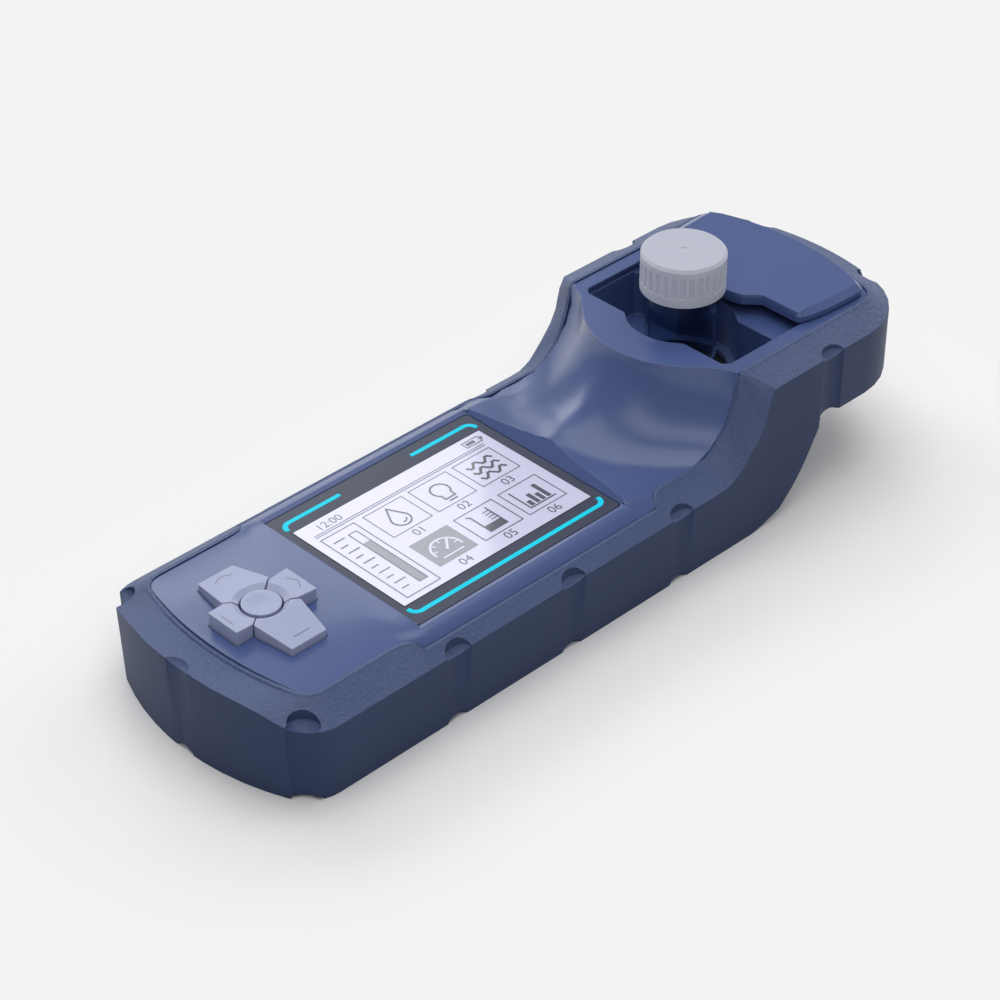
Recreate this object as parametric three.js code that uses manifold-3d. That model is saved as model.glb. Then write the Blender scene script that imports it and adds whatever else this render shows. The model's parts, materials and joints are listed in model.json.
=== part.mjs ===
import * as THREE from 'three';
import { mergeVertices } from 'three/addons/utils/BufferGeometryUtils.js';
import Module from 'manifold-3d';

const wasm = await Module();
wasm.setup();

// Lengths are in millimetres and angles in degrees.
// x runs across the instrument, s along it from the nose to the head, z up from the table.
// The finished part is moved so that its length is centred on y = 0.

// Whole body and its outline seen from above.
const body = {
  width: 88, length: 265, frontArc: 88, frontCorner: 14, rearArc: 88, rearCorner: 26, draft: 1,
};

// Gap between neighbouring separate pieces, the closer gap of a guided piece, and a cutter's overshoot.
const gap = 0.3;
const slip = 0.1;
const over = 5;

// Height of the outer edge of the bumper along the nose, against x.
const noseHeights = [[0, 31], [24.6, 29.5], [34, 27], [36, 25.8], [44, 24.4]];
const baseEdgeHeight = 24.4;

// Height of the underside against s.
const underside = [
  [0, 0], [188, 0], [193.8, 1.6], [199.6, 3.9], [204.7, 9.3],
  [208.4, 14.2], [211.2, 19.2], [216.3, 28.5], [217.9, 29.5], [265, 29.5],
];

// Matching stations of the side: s and z of the outer edge, then x, s and z of the parting line.
const sideStations = [
  [46, 24.4, 34.7, 46, 30], [50, 24.4, 34.9, 50, 29.9], [53, 24.4, 35.8, 53, 29.4],
  [54.8, 24.4, 37.3, 54.8, 28.5], [55.4, 24.4, 39, 55.4, 27.5], [101, 24.4, 39, 101, 27.5],
  [148.2, 24.4, 39, 148.2, 27.5], [149.2, 24.4, 37.1, 149.2, 28.6], [151, 24.4, 35.3, 151, 29.6],
  [152.3, 24.4, 34.6, 152.3, 30], [154.7, 24.4, 34.5, 154.7, 30], [170, 24.4, 34.5, 170, 30],
  [174, 24.6, 34.4, 173.8, 30.4], [176.5, 25.6, 34.4, 177.2, 32.8], [178.5, 26.6, 34.4, 180.6, 36],
  [181, 29, 34.4, 182.8, 39.6], [183.8, 31.9, 34.4, 184.7, 44], [187.5, 36.3, 34.4, 186, 48.5],
  [189.8, 40.6, 34.4, 187.1, 53.3], [191.5, 47.7, 34.4, 187.8, 54.4], [193.4, 51, 34.4, 188.6, 55],
  [199.6, 51, 34.3, 199.6, 55], [204.7, 51, 34.3, 204.7, 55], [208.4, 51, 34.3, 208.4, 55],
  [211.2, 51, 34.3, 211.2, 55], [216.3, 51, 34.3, 216.3, 55], [217.9, 51, 34.3, 217.9, 55],
];
const neckStart = 172;
const rearJog = 152.3;
const headEdgeHeight = 51;

// Parting line between bumper and upper housing at the nose and at the rear of the head.
const parting = {
  halfWidth: 34.7, front: 12.2, frontArc: 110, frontCorner: 6, frontHeight: 30,
  rearHalfWidth: 34.3, rear: 253, rearArc: 150, rearCorner: 6, rearHeight: 55,
};

// Bumper: wall, flange under the body, raised lip at its inner edge.
const boot = {
  wall: 5.4, flange: 9, flangeThickness: 2, edgeDrop: 1.2, collar: 3,
  lipWidth: 1.5, lipRound: 0.4, lipRise: 0.45,
};

// Round bites along the outer edge of the bumper, with a shallow channel down the wall.
const bite = {
  radius: 4.6, reach: 3.3, bowlDepth: 2.2, channelDepth: 1.2, lowDepth: 2.4, headLowDepth: 1.4,
  cornerTurn: 52,
};
const sideBites = [64.2, 109.6, 154.8];
const headBite = 219.9;
const cornerBite = { x: 38.4, s: 12.4 };
const rearBite = 22.5;

// Housing walls and the split between the upper and lower housing, as s and z.
const shell = { wall: 2.2, seal: 0.8, sealInset: 0.6 };
const split = [[-20, 14], [178, 14], [222, 36], [300, 36]];

// Deck rows: s, half width, edge height, middle height, and how flat the middle is.
const deckRows = [
  [-4, 35.3, 30, 31, 2], [14, 35.3, 30, 31.2, 2], [24, 35.3, 30, 32.2, 2.5], [44, 35.3, 30, 32.2, 2.5],
  [50.6, 35.3, 30, 31.7, 4], [55.3, 39.6, 27.3, 31.4, 12], [60, 39.6, 27.3, 31.3, 12],
  [101, 39.6, 27.3, 31.3, 12], [139.6, 39.6, 27.3, 31.3, 12],
];
const columnXs = [0, 5, 10, 15, 19, 22, 24, 26, 27.5, 29, 30.5, 32, 33.2, 34.3];
const innerColumnXs = [0, 10, 19, 24, 28, 31, 34.3];
const deckReach = 39.6;
const headHalf = 34.3;
const headReach = 34.9;

// Saddle that climbs from the window to the lip of the head.
const saddle = {
  startMiddle: 143, startSide: 141, riseMiddle: 143.5, riseSide: 168, footSide: 30,
  arc: 29.8, steps: 9, innerSteps: 5, softExponent: 1.6, softness: 0.65,
};
const saddleStartHeights = [[0, 34], [12, 33], [34, 31], [39.6, 27.3]];
const lipSides = [
  [22, 179.6], [24, 181.4], [26, 183.1], [27.5, 184.2], [29, 185.2], [30.5, 186], [32, 186.6],
  [33.2, 187], [34.3, 187.2], [45, 187.4],
];
const rimHeight = 55;
const lipLand = 0.8;

// Window recess with the display.
const bezel = {
  half: 32.8, front: 58.7, rear: 140.4, top: 30, thickness: 1.2, corner: 1.5, sideBorder: 9,
  frontBorder: 3.7, rearBorder: 3.6, slopeWidth: 4, slopeHeight: 1.4,
};
const lit = {
  half: bezel.half - bezel.sideBorder, front: bezel.front + bezel.frontBorder,
  rear: bezel.rear - bezel.rearBorder,
};
const opening = { side: 3, front: 1.8, rear: 1.2 };
const panel = { thickness: 1.6, margin: 1.2 };
const tray = { thickness: 2.4, floor: 0.8, margin: 2.2 };

// Keys round the middle of the keypad.
const keypad = {
  s: 30.9, top: 36, outerTop: 34, foot: 26.5, roundRadius: 5.7, roundTop: 35.5, dishRadius: 12,
  dishDepth: 0.9, biteLow: 6.3, biteHigh: 8.2, biteFloor: 34.9, innerHalf: 7, outer: 20,
  corner: 0.35, travel: 0.8, wellRadius: 9.8, tab: 1.2, tabHalf: 3.5, tabThickness: 1,
};
const sideKey = [[4.4, -5], [6.8, -8.4], [20, -6.2], [20, 6.2], [6.8, 8.4], [4.4, 5]];
const upKey = [[3.8, 5], [5.8, 8.3], [6.4, 14.7], [-6.4, 14.7], [-5.8, 8.3], [-3.8, 5]];
const downKey = [[-4, -5.5], [-6.3, -8.3], [-6, -13.9], [6, -13.9], [6.3, -8.3], [4, -5.5]];
const mat = { half: 23, front: 13.5, rear: 49.5, domeRadius: 2.6, domeHeight: 0.9 };
const domes = [[0, 0], [13.5, 0], [-13.5, 0], [0, 11.2], [0, -10.8]];

// Vial compartment in the head.
const axisS = 199.7;
const pocket = { half: 29.5, depth: 12.4, arc: 17.4, jogOuter: 12.3, jogInner: 8, corner: 2, floor: 36.7 };
const recess = { floor: 51.7, rear: 248.6, wall: 2.2, corner: 3 };
const groove = { depth: 1.2, low: 52.4, high: 53.9, front: 187.8, rear: 248.2 };
const wellHole = 14.8;

// Sliding cover: x and s of its right-hand outline, then the width of its top bevel there.
const coverOutline = [
  [0, 213.8, 0.5], [4, 214.1, 0.5], [8, 214.8, 0.5], [10.3, 215.6, 0.5], [14, 219.3, 0.5],
  [15, 219.8, 0.5], [28.6, 219.8, 0.5], [29.6, 220.6, 1], [30.7, 223.6, 2.2], [31.6, 229, 2.3],
  [32.1, 235, 2.4], [32.4, 241, 2.4], [32.4, 245.4, 2.4], [31.6, 246.9, 1.6], [27, 248.4, 0.8],
  [20.5, 250.3, 0.7], [11, 252, 0.6], [0, 252.7, 0.6],
];
const cover = { low: 55.4, high: 58.8, shoulder: 1.4 };
const guide = {
  inner: 27.6, web: 29.1, foot: 30.3, footLow: 52.75, footHigh: 53.55, front: 222.5, rear: 245,
};

// Vial, its cap and liner. The vial is drawn lifted by raised, as in the photograph.
const vial = {
  raised: 23, seatedCapTop: 54.4, radius: 11.2, wall: 1.2, bodyLength: 31, neckRadius: 9.6,
  neckHeight: 8.6, shoulder: 1.6, base: 1.6, fill: 24,
};
const cap = {
  radius: 13.1, topRadius: 12.2, height: 12.9, grooves: 30, grooveRadius: 1.1, grooveDepth: 0.7, band: 3,
  smooth: 2.6, topBevel: 0.9, markRadius: 1.2, markDepth: 0.15,
};
const liner = { thickness: 1, radius: 9.4 };

// Optical well block with lamps on the left and sensors on the right.
const well = {
  bore: 11.5, outer: 14, mouth: 12.2, mouthDepth: 0.9, flange: 15.4, flangeThickness: 2.2,
  bottomWall: 1.8, columnWall: 2,
};
const optics = {
  lampRadius: 1.5, holeRadius: 1.7, reach: 3.6, boardThickness: 1.6, boardFront: 8, boardRear: 2,
  boardLow: 18, boardHigh: 30.5, sink: 1,
};
const lampHeights = [19.4, 23.6, 27.8];
const sensorHeights = [20.4, 26.8];

// Battery bay, cells, holder, contacts and door.
const cell = {
  radius: 7.25, length: 50.5, count: 4, pitch: 14.8, nub: 2.7, nubLength: 1.2, axisHeight: 12.4,
  front: 71,
};
const contact = { thickness: 0.6, height: 10, springRadius: 3 };
const holder = { wall: 1.2, roof: 1.2, endGap: 3, depth: 3.9 };
const door = {
  half: 32, front: 62, rear: 134, thickness: 1.8, corner: 4, ledge: 2.4, frameHeight: 3.4,
  sealThickness: 0.6, sealWidth: 1.4, screwX: 20, screwS: 130.2, bossRadius: 3, bossHeight: 7,
};

// Main board and ribbon.
const board = { half: 24, front: 13, rear: 150, thickness: 1.6, low: 22.3 };
const ribbon = { left: 16.2, right: 24.2, thickness: 0.3 };
const ribbonPath = [[143, 24.1], [152, 24.1], [166, 26.2], [180, 27.6], [191.4, 27.6]];

// Screws: places of the four housing screws and the sizes of both kinds.
const housingScrewPlaces = [[29.4, 30], [-29.4, 30], [29.4, 158], [-29.4, 158]];
const screw = {
  headRadius: 2.6, headHeight: 1.8, shankRadius: 1.25, length: 14, seat: 7.2, bossRadius: 4,
  boreRadius: 1.6, pilotRadius: 1.35,
};
const doorScrew = { headRadius: 2, headHeight: 1, shankRadius: 1, length: 5.2, sink: 0.4 };

// Facets: the counts for round parts, and the tolerance of the meshes.
const facets = { fine: 36, round: 28, small: 16, tiny: 10, ball: 8, arc: 5, corner: 6, tolerance: 0.02 };

const looks = {
  boot: { color: 0x3a4360, roughness: 0.8, metalness: 0 },
  housing: { color: 0x4a5c8c, roughness: 0.3, metalness: 0 },
  lower: { color: 0x39415a, roughness: 0.5, metalness: 0 },
  slate: { color: 0x4b505f, roughness: 0.3, metalness: 0 },
  glass: { color: 0xdfe6ee, roughness: 0.05, metalness: 0 },
  screen: { color: 0xd7d7f0, roughness: 0.3, metalness: 0 },
  key: { color: 0xa5acc8, roughness: 0.4, metalness: 0 },
  cap: { color: 0xbec1d2, roughness: 0.45, metalness: 0 },
  dark: { color: 0x16181c, roughness: 0.6, metalness: 0 },
  rubber: { color: 0x24262b, roughness: 0.85, metalness: 0 },
  board: { color: 0x1f6b3a, roughness: 0.5, metalness: 0 },
  steel: { color: 0xb8bbc0, roughness: 0.3, metalness: 1 },
  cell: { color: 0x8a8f98, roughness: 0.35, metalness: 0 },
  ribbon: { color: 0xc9ccd2, roughness: 0.5, metalness: 0 },
  water: { color: 0xbfd9e6, roughness: 0.05, metalness: 0 },
};

const halfTurn = 180;
const rad = THREE.MathUtils.degToRad;
const group = new THREE.Group();

// Turns a three.js geometry into a closed solid.
function solidOf(geometry) {
  geometry.deleteAttribute('normal');
  geometry.deleteAttribute('uv');
  const merged = mergeVertices(geometry, 1e-5);
  const index = merged.index.array;
  const kept = [];
  for (let i = 0; i < index.length; i += 3) {
    const [a, b, c] = [index[i], index[i + 1], index[i + 2]];
    if (a !== b && b !== c && a !== c) kept.push(a, b, c);
  }
  const points = new Float32Array(merged.attributes.position.array);
  const made = new wasm.Manifold(new wasm.Mesh({
    numProp: 3, vertProperties: points, triVerts: new Uint32Array(kept),
  }));
  if (made.volume() > 0) return made;
  const flipped = new Uint32Array(kept.length);
  for (let i = 0; i < kept.length; i += 3) {
    flipped.set([kept[i], kept[i + 2], kept[i + 1]], i);
  }
  return new wasm.Manifold(new wasm.Mesh({ numProp: 3, vertProperties: points, triVerts: flipped }));
}

// Turns a solid back into a named mesh of the part.
function piece(name, solid, look) {
  const data = solid.simplify(facets.tolerance).translate([0, -body.length / 2, 0]).getMesh();
  const geometry = new THREE.BufferGeometry();
  const points = new Float32Array(data.numVert * 3);
  for (let v = 0; v < data.numVert; v += 1) {
    for (let k = 0; k < 3; k += 1) points[v * 3 + k] = data.vertProperties[v * data.numProp + k];
  }
  geometry.setAttribute('position', new THREE.BufferAttribute(points, 3));
  geometry.setIndex(new THREE.BufferAttribute(new Uint32Array(data.triVerts), 1));
  geometry.computeVertexNormals();
  const mesh = new THREE.Mesh(geometry, new THREE.MeshStandardMaterial(looks[look]));
  mesh.name = name;
  group.add(mesh);
}

function fromTriangles(corners) {
  const geometry = new THREE.BufferGeometry();
  geometry.setAttribute('position', new THREE.BufferAttribute(new Float32Array(corners.flat()), 3));
  return solidOf(geometry);
}

function lookUp(table, at) {
  if (at <= table[0][0]) return table[0][1];
  for (let i = 1; i < table.length; i += 1) {
    const [a, b] = [table[i - 1], table[i]];
    if (at <= b[0]) return a[1] + ((b[1] - a[1]) * (at - a[0])) / (b[0] - a[0]);
  }
  return table[table.length - 1][1];
}

// Solid between stacked rings. A ring lists its right-hand points from nose to head; the left mirrors it.
function ladder(rings) {
  const corners = [];
  const left = (p) => [-p[0], p[1], p[2]];
  const quad = (a, b, c, d) => corners.push(a, b, c, a, c, d);
  for (let k = 0; k + 1 < rings.length; k += 1) {
    for (let i = 0; i + 1 < rings[k].length; i += 1) {
      const [a, b] = [rings[k][i], rings[k][i + 1]];
      const [c, d] = [rings[k + 1][i + 1], rings[k + 1][i]];
      quad(a, b, c, d);
      quad(left(b), left(a), left(d), left(c));
    }
    for (const end of [0, rings[k].length - 1]) {
      const [low, high] = [rings[k][end], rings[k + 1][end]];
      if (low[0] === 0 && high[0] === 0) continue;
      if (end === 0) quad(left(low), low, high, left(high));
      else quad(low, left(low), left(high), high);
    }
  }
  const [low, high] = [rings[0], rings[rings.length - 1]];
  for (let i = 0; i + 1 < low.length; i += 1) {
    quad(low[i], left(low[i]), left(low[i + 1]), low[i + 1]);
    quad(left(high[i]), high[i], high[i + 1], left(high[i + 1]));
  }
  return fromTriangles(corners);
}

// Solid between an upper and a lower grid of points with the same layout.
function gridSolid(top, bottom) {
  const corners = [];
  const quad = (a, b, c, d) => corners.push(a, b, c, a, c, d);
  const [rows, columns] = [top.length, top[0].length];
  for (let i = 0; i + 1 < rows; i += 1) {
    for (let j = 0; j + 1 < columns; j += 1) {
      quad(top[i][j], top[i][j + 1], top[i + 1][j + 1], top[i + 1][j]);
      quad(bottom[i + 1][j], bottom[i + 1][j + 1], bottom[i][j + 1], bottom[i][j]);
    }
    quad(top[i + 1][0], bottom[i + 1][0], bottom[i][0], top[i][0]);
    const last = columns - 1;
    quad(top[i][last], bottom[i][last], bottom[i + 1][last], top[i + 1][last]);
  }
  for (let j = 0; j + 1 < columns; j += 1) {
    quad(top[0][j], bottom[0][j], bottom[0][j + 1], top[0][j + 1]);
    const last = rows - 1;
    quad(top[last][j + 1], bottom[last][j + 1], bottom[last][j], top[last][j]);
  }
  return fromTriangles(corners);
}

function extrude(points, low, high) {
  const shape = new THREE.Shape(points.map(([x, s]) => new THREE.Vector2(x, s)));
  const geometry = new THREE.ExtrudeGeometry(shape, { depth: high - low, bevelEnabled: false });
  geometry.translate(0, 0, low);
  return solidOf(geometry);
}

// Profile given as s and z, carried across from x = left to x = right.
function acrossX(profile, left, right) {
  return extrude(profile, 0, right - left).transform([
    0, 1, 0, 0, 0, 0, 1, 0, 1, 0, 0, 0, left, 0, 0, 1,
  ]);
}

function box(left, right, front, rear, low, high) {
  const geometry = new THREE.BoxGeometry(right - left, rear - front, high - low);
  geometry.translate((left + right) / 2, (front + rear) / 2, (low + high) / 2);
  return solidOf(geometry);
}

// Upright round solid from pairs of radius and height, at x and s.
function turned(profile, x = 0, s = 0, count = facets.round) {
  const geometry = new THREE.LatheGeometry(profile.map(([r, z]) => new THREE.Vector2(r, z)), count);
  geometry.rotateX(rad(halfTurn / 2));
  return solidOf(geometry).translate([x, s, 0]);
}

function rod(radius, x, s, low, high, count = facets.round) {
  return turned([[0, low], [radius, low], [radius, high], [0, high]], x, s, count);
}

// Round bar along x or along s.
function rodX(radius, left, right, s, z, count = facets.small) {
  return rod(radius, 0, 0, left, right, count).rotate([0, halfTurn / 2, 0]).translate([0, s, z]);
}

function rodS(radius, front, rear, x, z, count = facets.small) {
  return rod(radius, 0, 0, -rear, -front, count).rotate([halfTurn / 2, 0, 0]).translate([x, 0, z]);
}

function roundCorners(points, radius, count = 4) {
  const made = [];
  points.forEach((p, i) => {
    const before = points[(i + points.length - 1) % points.length];
    const after = points[(i + 1) % points.length];
    const toward = (q) => {
      const away = Math.hypot(q[0] - p[0], q[1] - p[1]);
      const share = Math.min(radius / away, 0.45);
      return [p[0] + (q[0] - p[0]) * share, p[1] + (q[1] - p[1]) * share];
    };
    const [a, b] = [toward(before), toward(after)];
    for (let k = 0; k <= count; k += 1) {
      const t = k / count;
      const u = 1 - t;
      made.push([
        u * u * a[0] + 2 * u * t * p[0] + t * t * b[0],
        u * u * a[1] + 2 * u * t * p[1] + t * t * b[1],
      ]);
    }
  });
  return made;
}

function roundedPlate(left, right, front, rear, corner, low, high) {
  const points = [[left, front], [right, front], [right, rear], [left, rear]];
  return extrude(roundCorners(points, corner), low, high);
}

// Moves each point of a counter-clockwise outline outward by amount.
function grown(points, amount) {
  return points.map((p, i) => {
    const before = points[(i + points.length - 1) % points.length];
    const after = points[(i + 1) % points.length];
    const normal = (a, b) => {
      const size = Math.hypot(b[0] - a[0], b[1] - a[1]);
      return [(b[1] - a[1]) / size, (a[0] - b[0]) / size];
    };
    const [n, m] = [normal(before, p), normal(p, after)];
    const sum = [n[0] + m[0], n[1] + m[1]];
    const scale = 2 / (sum[0] * sum[0] + sum[1] * sum[1]);
    return [p[0] + sum[0] * scale * amount, p[1] + sum[1] * scale * amount];
  });
}

function mirrored(right) {
  const left = right.map(([x, s]) => [-x, s]).reverse();
  const whole = [...right, ...left.filter(([x]) => x !== 0)];
  return whole;
}

// Right half of a rounded end: points from the apex to the side, as x and s.
function endPoints(half, apex, arc, corner, sign) {
  const reach = Math.sqrt((arc - corner) ** 2 - (half - corner) ** 2);
  const turn = Math.asin((half - corner) / (arc - corner));
  const centre = apex + sign * arc;
  const cornerCentre = centre - sign * reach;
  const points = [];
  for (let i = 0; i < facets.arc; i += 1) {
    const a = (turn * i) / facets.arc;
    points.push([arc * Math.sin(a), centre - sign * arc * Math.cos(a)]);
  }
  points[0][0] = 0;
  for (let i = 0; i <= facets.corner; i += 1) {
    const a = turn + ((Math.PI / 2 - turn) * i) / facets.corner;
    points.push([half - corner + corner * Math.sin(a), cornerCentre - sign * corner * Math.cos(a)]);
  }
  return points;
}

const half = body.width / 2;
const frontEdge = endPoints(half, 0, body.frontArc, body.frontCorner, 1);

function rearEnd(inset) {
  const [arc, corner] = [body.rearArc - inset, body.rearCorner - inset];
  return endPoints(half - inset, body.length - inset, arc, corner, -1);
}

// Outer edge ring, moved inward by inset, down by drop and, in the neck, back by shift.
function edgeRing(inset, drop, shift) {
  const nose = endPoints(half - inset, inset, body.frontArc - inset, body.frontCorner - inset, 1);
  const tail = rearEnd(inset);
  const front = nose.map(([x, s], i) => [x, s, lookUp(noseHeights, frontEdge[i][0]) - drop]);
  const sides = sideStations.map(([s, z]) => [half - inset, s + (s > neckStart ? shift : 0), z - drop]);
  const rear = tail.reverse().map(([x, s]) => [x, s, headEdgeHeight - drop]);
  return [...front, ...sides, ...rear];
}

// Ring along the underside, moved inward by inset, up by lift and, in the slope, forward by shift.
function underRing(inset, lift, shift) {
  const slope = (s) => body.draft * (1 - THREE.MathUtils.smoothstep(s, underside[1][0], underside[8][0]));
  const deep = inset + body.draft;
  const nose = endPoints(half - deep, deep, body.frontArc - deep, body.frontCorner - deep, 1);
  const tail = rearEnd(inset);
  const front = nose.map(([x, s]) => [x, s, lift]);
  const sides = sideStations.map(([s]) => [
    half - inset - slope(s), s - (s > neckStart ? shift : 0), lookUp(underside, s) + lift,
  ]);
  const rear = tail.reverse().map(([x, s]) => [x, s, lookUp(underside, s) + lift]);
  return [...front, ...sides, ...rear];
}

// Ring along the parting line, moved inward by inset, down by drop and, in the neck, back by shift.
function partRing(inset, drop, shift) {
  const p = parting;
  const nose = endPoints(p.halfWidth - inset, p.front + inset, p.frontArc - inset, p.frontCorner - inset, 1);
  const [rearArc, rearCorner] = [p.rearArc - inset, p.rearCorner - inset];
  const tail = endPoints(p.rearHalfWidth - inset, p.rear - inset, rearArc, rearCorner, -1);
  const front = nose.map(([x, s]) => [x, s, p.frontHeight - drop]);
  const sides = sideStations.map(([at, , x, s, z]) => [
    x - inset, s + (at > neckStart ? shift : 0), z - drop,
  ]);
  const rear = tail.reverse().map(([x, s]) => [x, s, p.rearHeight - drop]);
  return [...front, ...sides, ...rear];
}

function prism(ring, low, high) {
  return extrude(mirrored(ring.map(([x, s]) => [x, s])), low, high);
}

const sky = body.length;

// Everything below or above the split between the housings, raised by lift.
function belowSplit(lift) {
  const line = split.map(([s, z]) => [s, z + lift]);
  const [first, last] = [line[0], line[line.length - 1]];
  return acrossX([...line, [last[0], -sky], [first[0], -sky]], -sky, sky);
}

// Height of the lip line of the saddle, as s for a given x.
function lipAt(x) {
  const a = Math.abs(x);
  if (a >= lipSides[0][0]) return lookUp(lipSides, a);
  return axisS - Math.sqrt(saddle.arc ** 2 - a * a);
}

function climb(t, soft) {
  const steep = 1 - Math.sqrt(Math.max(0, 1 - t * t));
  const gentle = t ** saddle.softExponent;
  return steep * (1 - soft) + gentle * soft;
}

// Top surface of the upper housing as rows across and columns along.
// A positive skin moves it inward for the hollow under it.
function deckGrid(skin, across, steps) {
  const xs = [...across.slice(1).reverse().map((x) => -x), ...across];
  const edges = sideStations.map(([, , , s, z]) => [s, z]);
  const columns = xs.map((x0) => {
    const share = x0 / headHalf;
    const column = deckRows.map(([s, wide, edge, middle, flat]) => {
      const z = edge + (middle - edge) * (1 - Math.abs(share) ** flat);
      return [share * (wide - skin), s + skin, z - skin];
    });
    const lip = lipAt(x0);
    const away = Math.abs(share);
    const start = THREE.MathUtils.lerp(saddle.startMiddle, saddle.startSide, away);
    const rise = THREE.MathUtils.lerp(saddle.riseMiddle, saddle.riseSide, away * away);
    const soft = saddle.softness * (1 - away);
    for (let k = 0; k <= steps; k += 1) {
      const t = Math.sin((Math.PI / 2) * (k / steps));
      const s = THREE.MathUtils.lerp(start, lip, t);
      const wide = s < rearJog ? deckReach : headReach;
      const foot = THREE.MathUtils.lerp(
        lookUp(saddleStartHeights, Math.abs(share * wide)), saddle.footSide,
        away * THREE.MathUtils.smoothstep(s, start, rise + 1e-3),
      );
      const up = Math.max(0, (s - rise) / (lip - rise));
      column.push([share * (wide - skin), s + skin, foot + (rimHeight - foot) * climb(up, soft) - skin]);
    }
    const wideHead = headReach - skin;
    for (const s of [lip + lipLand, recess.rear - recess.wall, body.length + over]) {
      column.push([share * wideHead, s + skin, rimHeight - skin]);
    }
    return column;
  });
  const low = columns.map((column) => column.map(([x, s, z]) => (
    [x, s, Math.min(lookUp(edges, s - skin), z + skin) - boot.collar - boot.collar])));
  return gridSolid(columns, low);
}

function pocketPoints(grow) {
  const p = pocket;
  const sideways = (d) => axisS - Math.sqrt(p.arc ** 2 - d * d);
  const front = [0, 0.33, 0.66, 1].map((share) => [p.jogInner * share, sideways(p.jogInner * share)]);
  front.push([p.jogOuter, axisS - p.depth], [p.half - p.corner, axisS - p.depth]);
  front.push([p.half, axisS - p.depth + p.corner]);
  const rear = front.map(([x, s]) => [x, 2 * axisS - s]).reverse();
  return grown(mirrored([...front, ...rear]), grow);
}

function biteTool(x, s, turn, high, low, lowDepth) {
  const ball = solidOf(new THREE.SphereGeometry(bite.radius, facets.small, facets.ball));
  const disc = rod(bite.radius, 0, 0, high, high + over + over, facets.small);
  const flat = bite.reach / bite.radius;
  const bowl = ball.scale([flat, 1, bite.bowlDepth / bite.radius]).translate([0, 0, high]);
  const notch = ball.scale([1, 1, lowDepth / bite.radius]).translate([bite.radius / 3, 0, low]);
  const channel = rod(bite.radius, 0, 0, low - over, high, facets.small);
  const shallow = channel.scale([bite.channelDepth / bite.radius, 1, 1]);
  const tool = disc.scale([flat, 1, 1]).add(bowl).add(notch).add(shallow);
  return tool.rotate([0, 0, turn]).translate([x, s, 0]);
}

function bumperBoot() {
  const lipRing = (inset, rise) => partRing(inset, -rise, 0);
  const outer = ladder([
    underRing(0, 0, 0), edgeRing(0, 0, 0), lipRing(-boot.lipWidth, -slip),
    lipRing(boot.lipRound - boot.lipWidth, boot.lipRise), lipRing(slip, boot.lipRise),
  ]);
  const inner = ladder([
    underRing(boot.wall, boot.flangeThickness, boot.flangeThickness),
    edgeRing(boot.wall, boot.edgeDrop, boot.wall), partRing(0, boot.collar, boot.collar),
  ]);
  const opening = prism(partRing(0, 0, 0), -over, sky).subtract(belowSplit(0));
  const under = prism(underRing(boot.flange, 0, 0), -over, sky).intersect(belowSplit(0));
  let made = outer.subtract(inner).subtract(opening).subtract(under);
  for (const side of [1, -1]) {
    const turn = side > 0 ? 0 : halfTurn;
    for (const s of sideBites) {
      made = made.subtract(biteTool(side * half, s, turn, baseEdgeHeight, 0, bite.lowDepth));
    }
    const headLow = underside[8][1];
    const shallow = bite.headLowDepth;
    made = made.subtract(biteTool(side * half, headBite, turn, headEdgeHeight, headLow, shallow));
    const cornerTurn = side > 0 ? -bite.cornerTurn : bite.cornerTurn - halfTurn;
    const cornerHeight = lookUp(noseHeights, cornerBite.x);
    const [cornerX, cornerS] = [side * cornerBite.x, cornerBite.s];
    made = made.subtract(biteTool(cornerX, cornerS, cornerTurn, cornerHeight, 0, bite.lowDepth));
    const rearS = body.length - body.rearArc + Math.sqrt(body.rearArc ** 2 - rearBite ** 2);
    const rear = biteTool(side * rearBite, rearS, halfTurn / 2, headEdgeHeight, headLow, shallow);
    made = made.subtract(rear);
  }
  return made.subtract(biteTool(0, 0, -halfTurn / 2, noseHeights[0][1], 0, bite.lowDepth));
}

// Outside of both housings together.
function housingForm() {
  const inset = boot.wall + gap;
  const lower = ladder([
    underRing(inset, boot.flangeThickness + gap, boot.flangeThickness + gap),
    edgeRing(inset, boot.edgeDrop + gap, inset), partRing(gap, boot.collar + gap, inset),
  ]);
  const collar = deckGrid(0, columnXs, saddle.steps).intersect(prism(partRing(slip, 0, 0), -over, sky));
  return lower.add(collar);
}

// Space inside both housings together, before the walls of the vial compartment.
function housingRoom() {
  const inset = boot.wall + gap + shell.wall;
  const lower = ladder([
    underRing(inset, boot.flangeThickness + gap + shell.wall, boot.flangeThickness + gap + shell.wall),
    edgeRing(inset, boot.edgeDrop + gap + shell.wall, inset),
    partRing(gap + shell.wall, shell.wall, inset),
  ]);
  const under = deckGrid(shell.wall, innerColumnXs, saddle.innerSteps);
  const underDeck = under.intersect(prism(partRing(gap + shell.wall, 0, 0), -over, sky));
  const saddleOnly = box(-sky, sky, saddle.startMiddle + shell.wall, axisS, -over, sky);
  return lower.add(underDeck.intersect(saddleOnly));
}

// The walls of the vial compartment and the shelf under the cover stay solid.
function topHollow(room) {
  const pocketWall = extrude(pocketPoints(shell.wall), pocket.floor - shell.wall, sky);
  const shelf = box(-sky, sky, axisS, sky, recess.floor - shell.wall, sky);
  return room.subtract(pocketWall).subtract(shelf);
}

function keyHole(points, grow) {
  return grown(roundCorners(points, keypad.corner), grow).map(([x, d]) => [x, d + keypad.s]);
}

const keyPlans = {
  key_right: sideKey,
  key_left: sideKey.map(([x, d]) => [-x, d]).reverse(),
  key_up: upKey,
  key_down: downKey,
};

function screwBoss(x, s, low, high) {
  return rod(screw.bossRadius, x, s, low, high, facets.small);
}

const blockTop = pocket.floor - shell.wall - gap;

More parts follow.
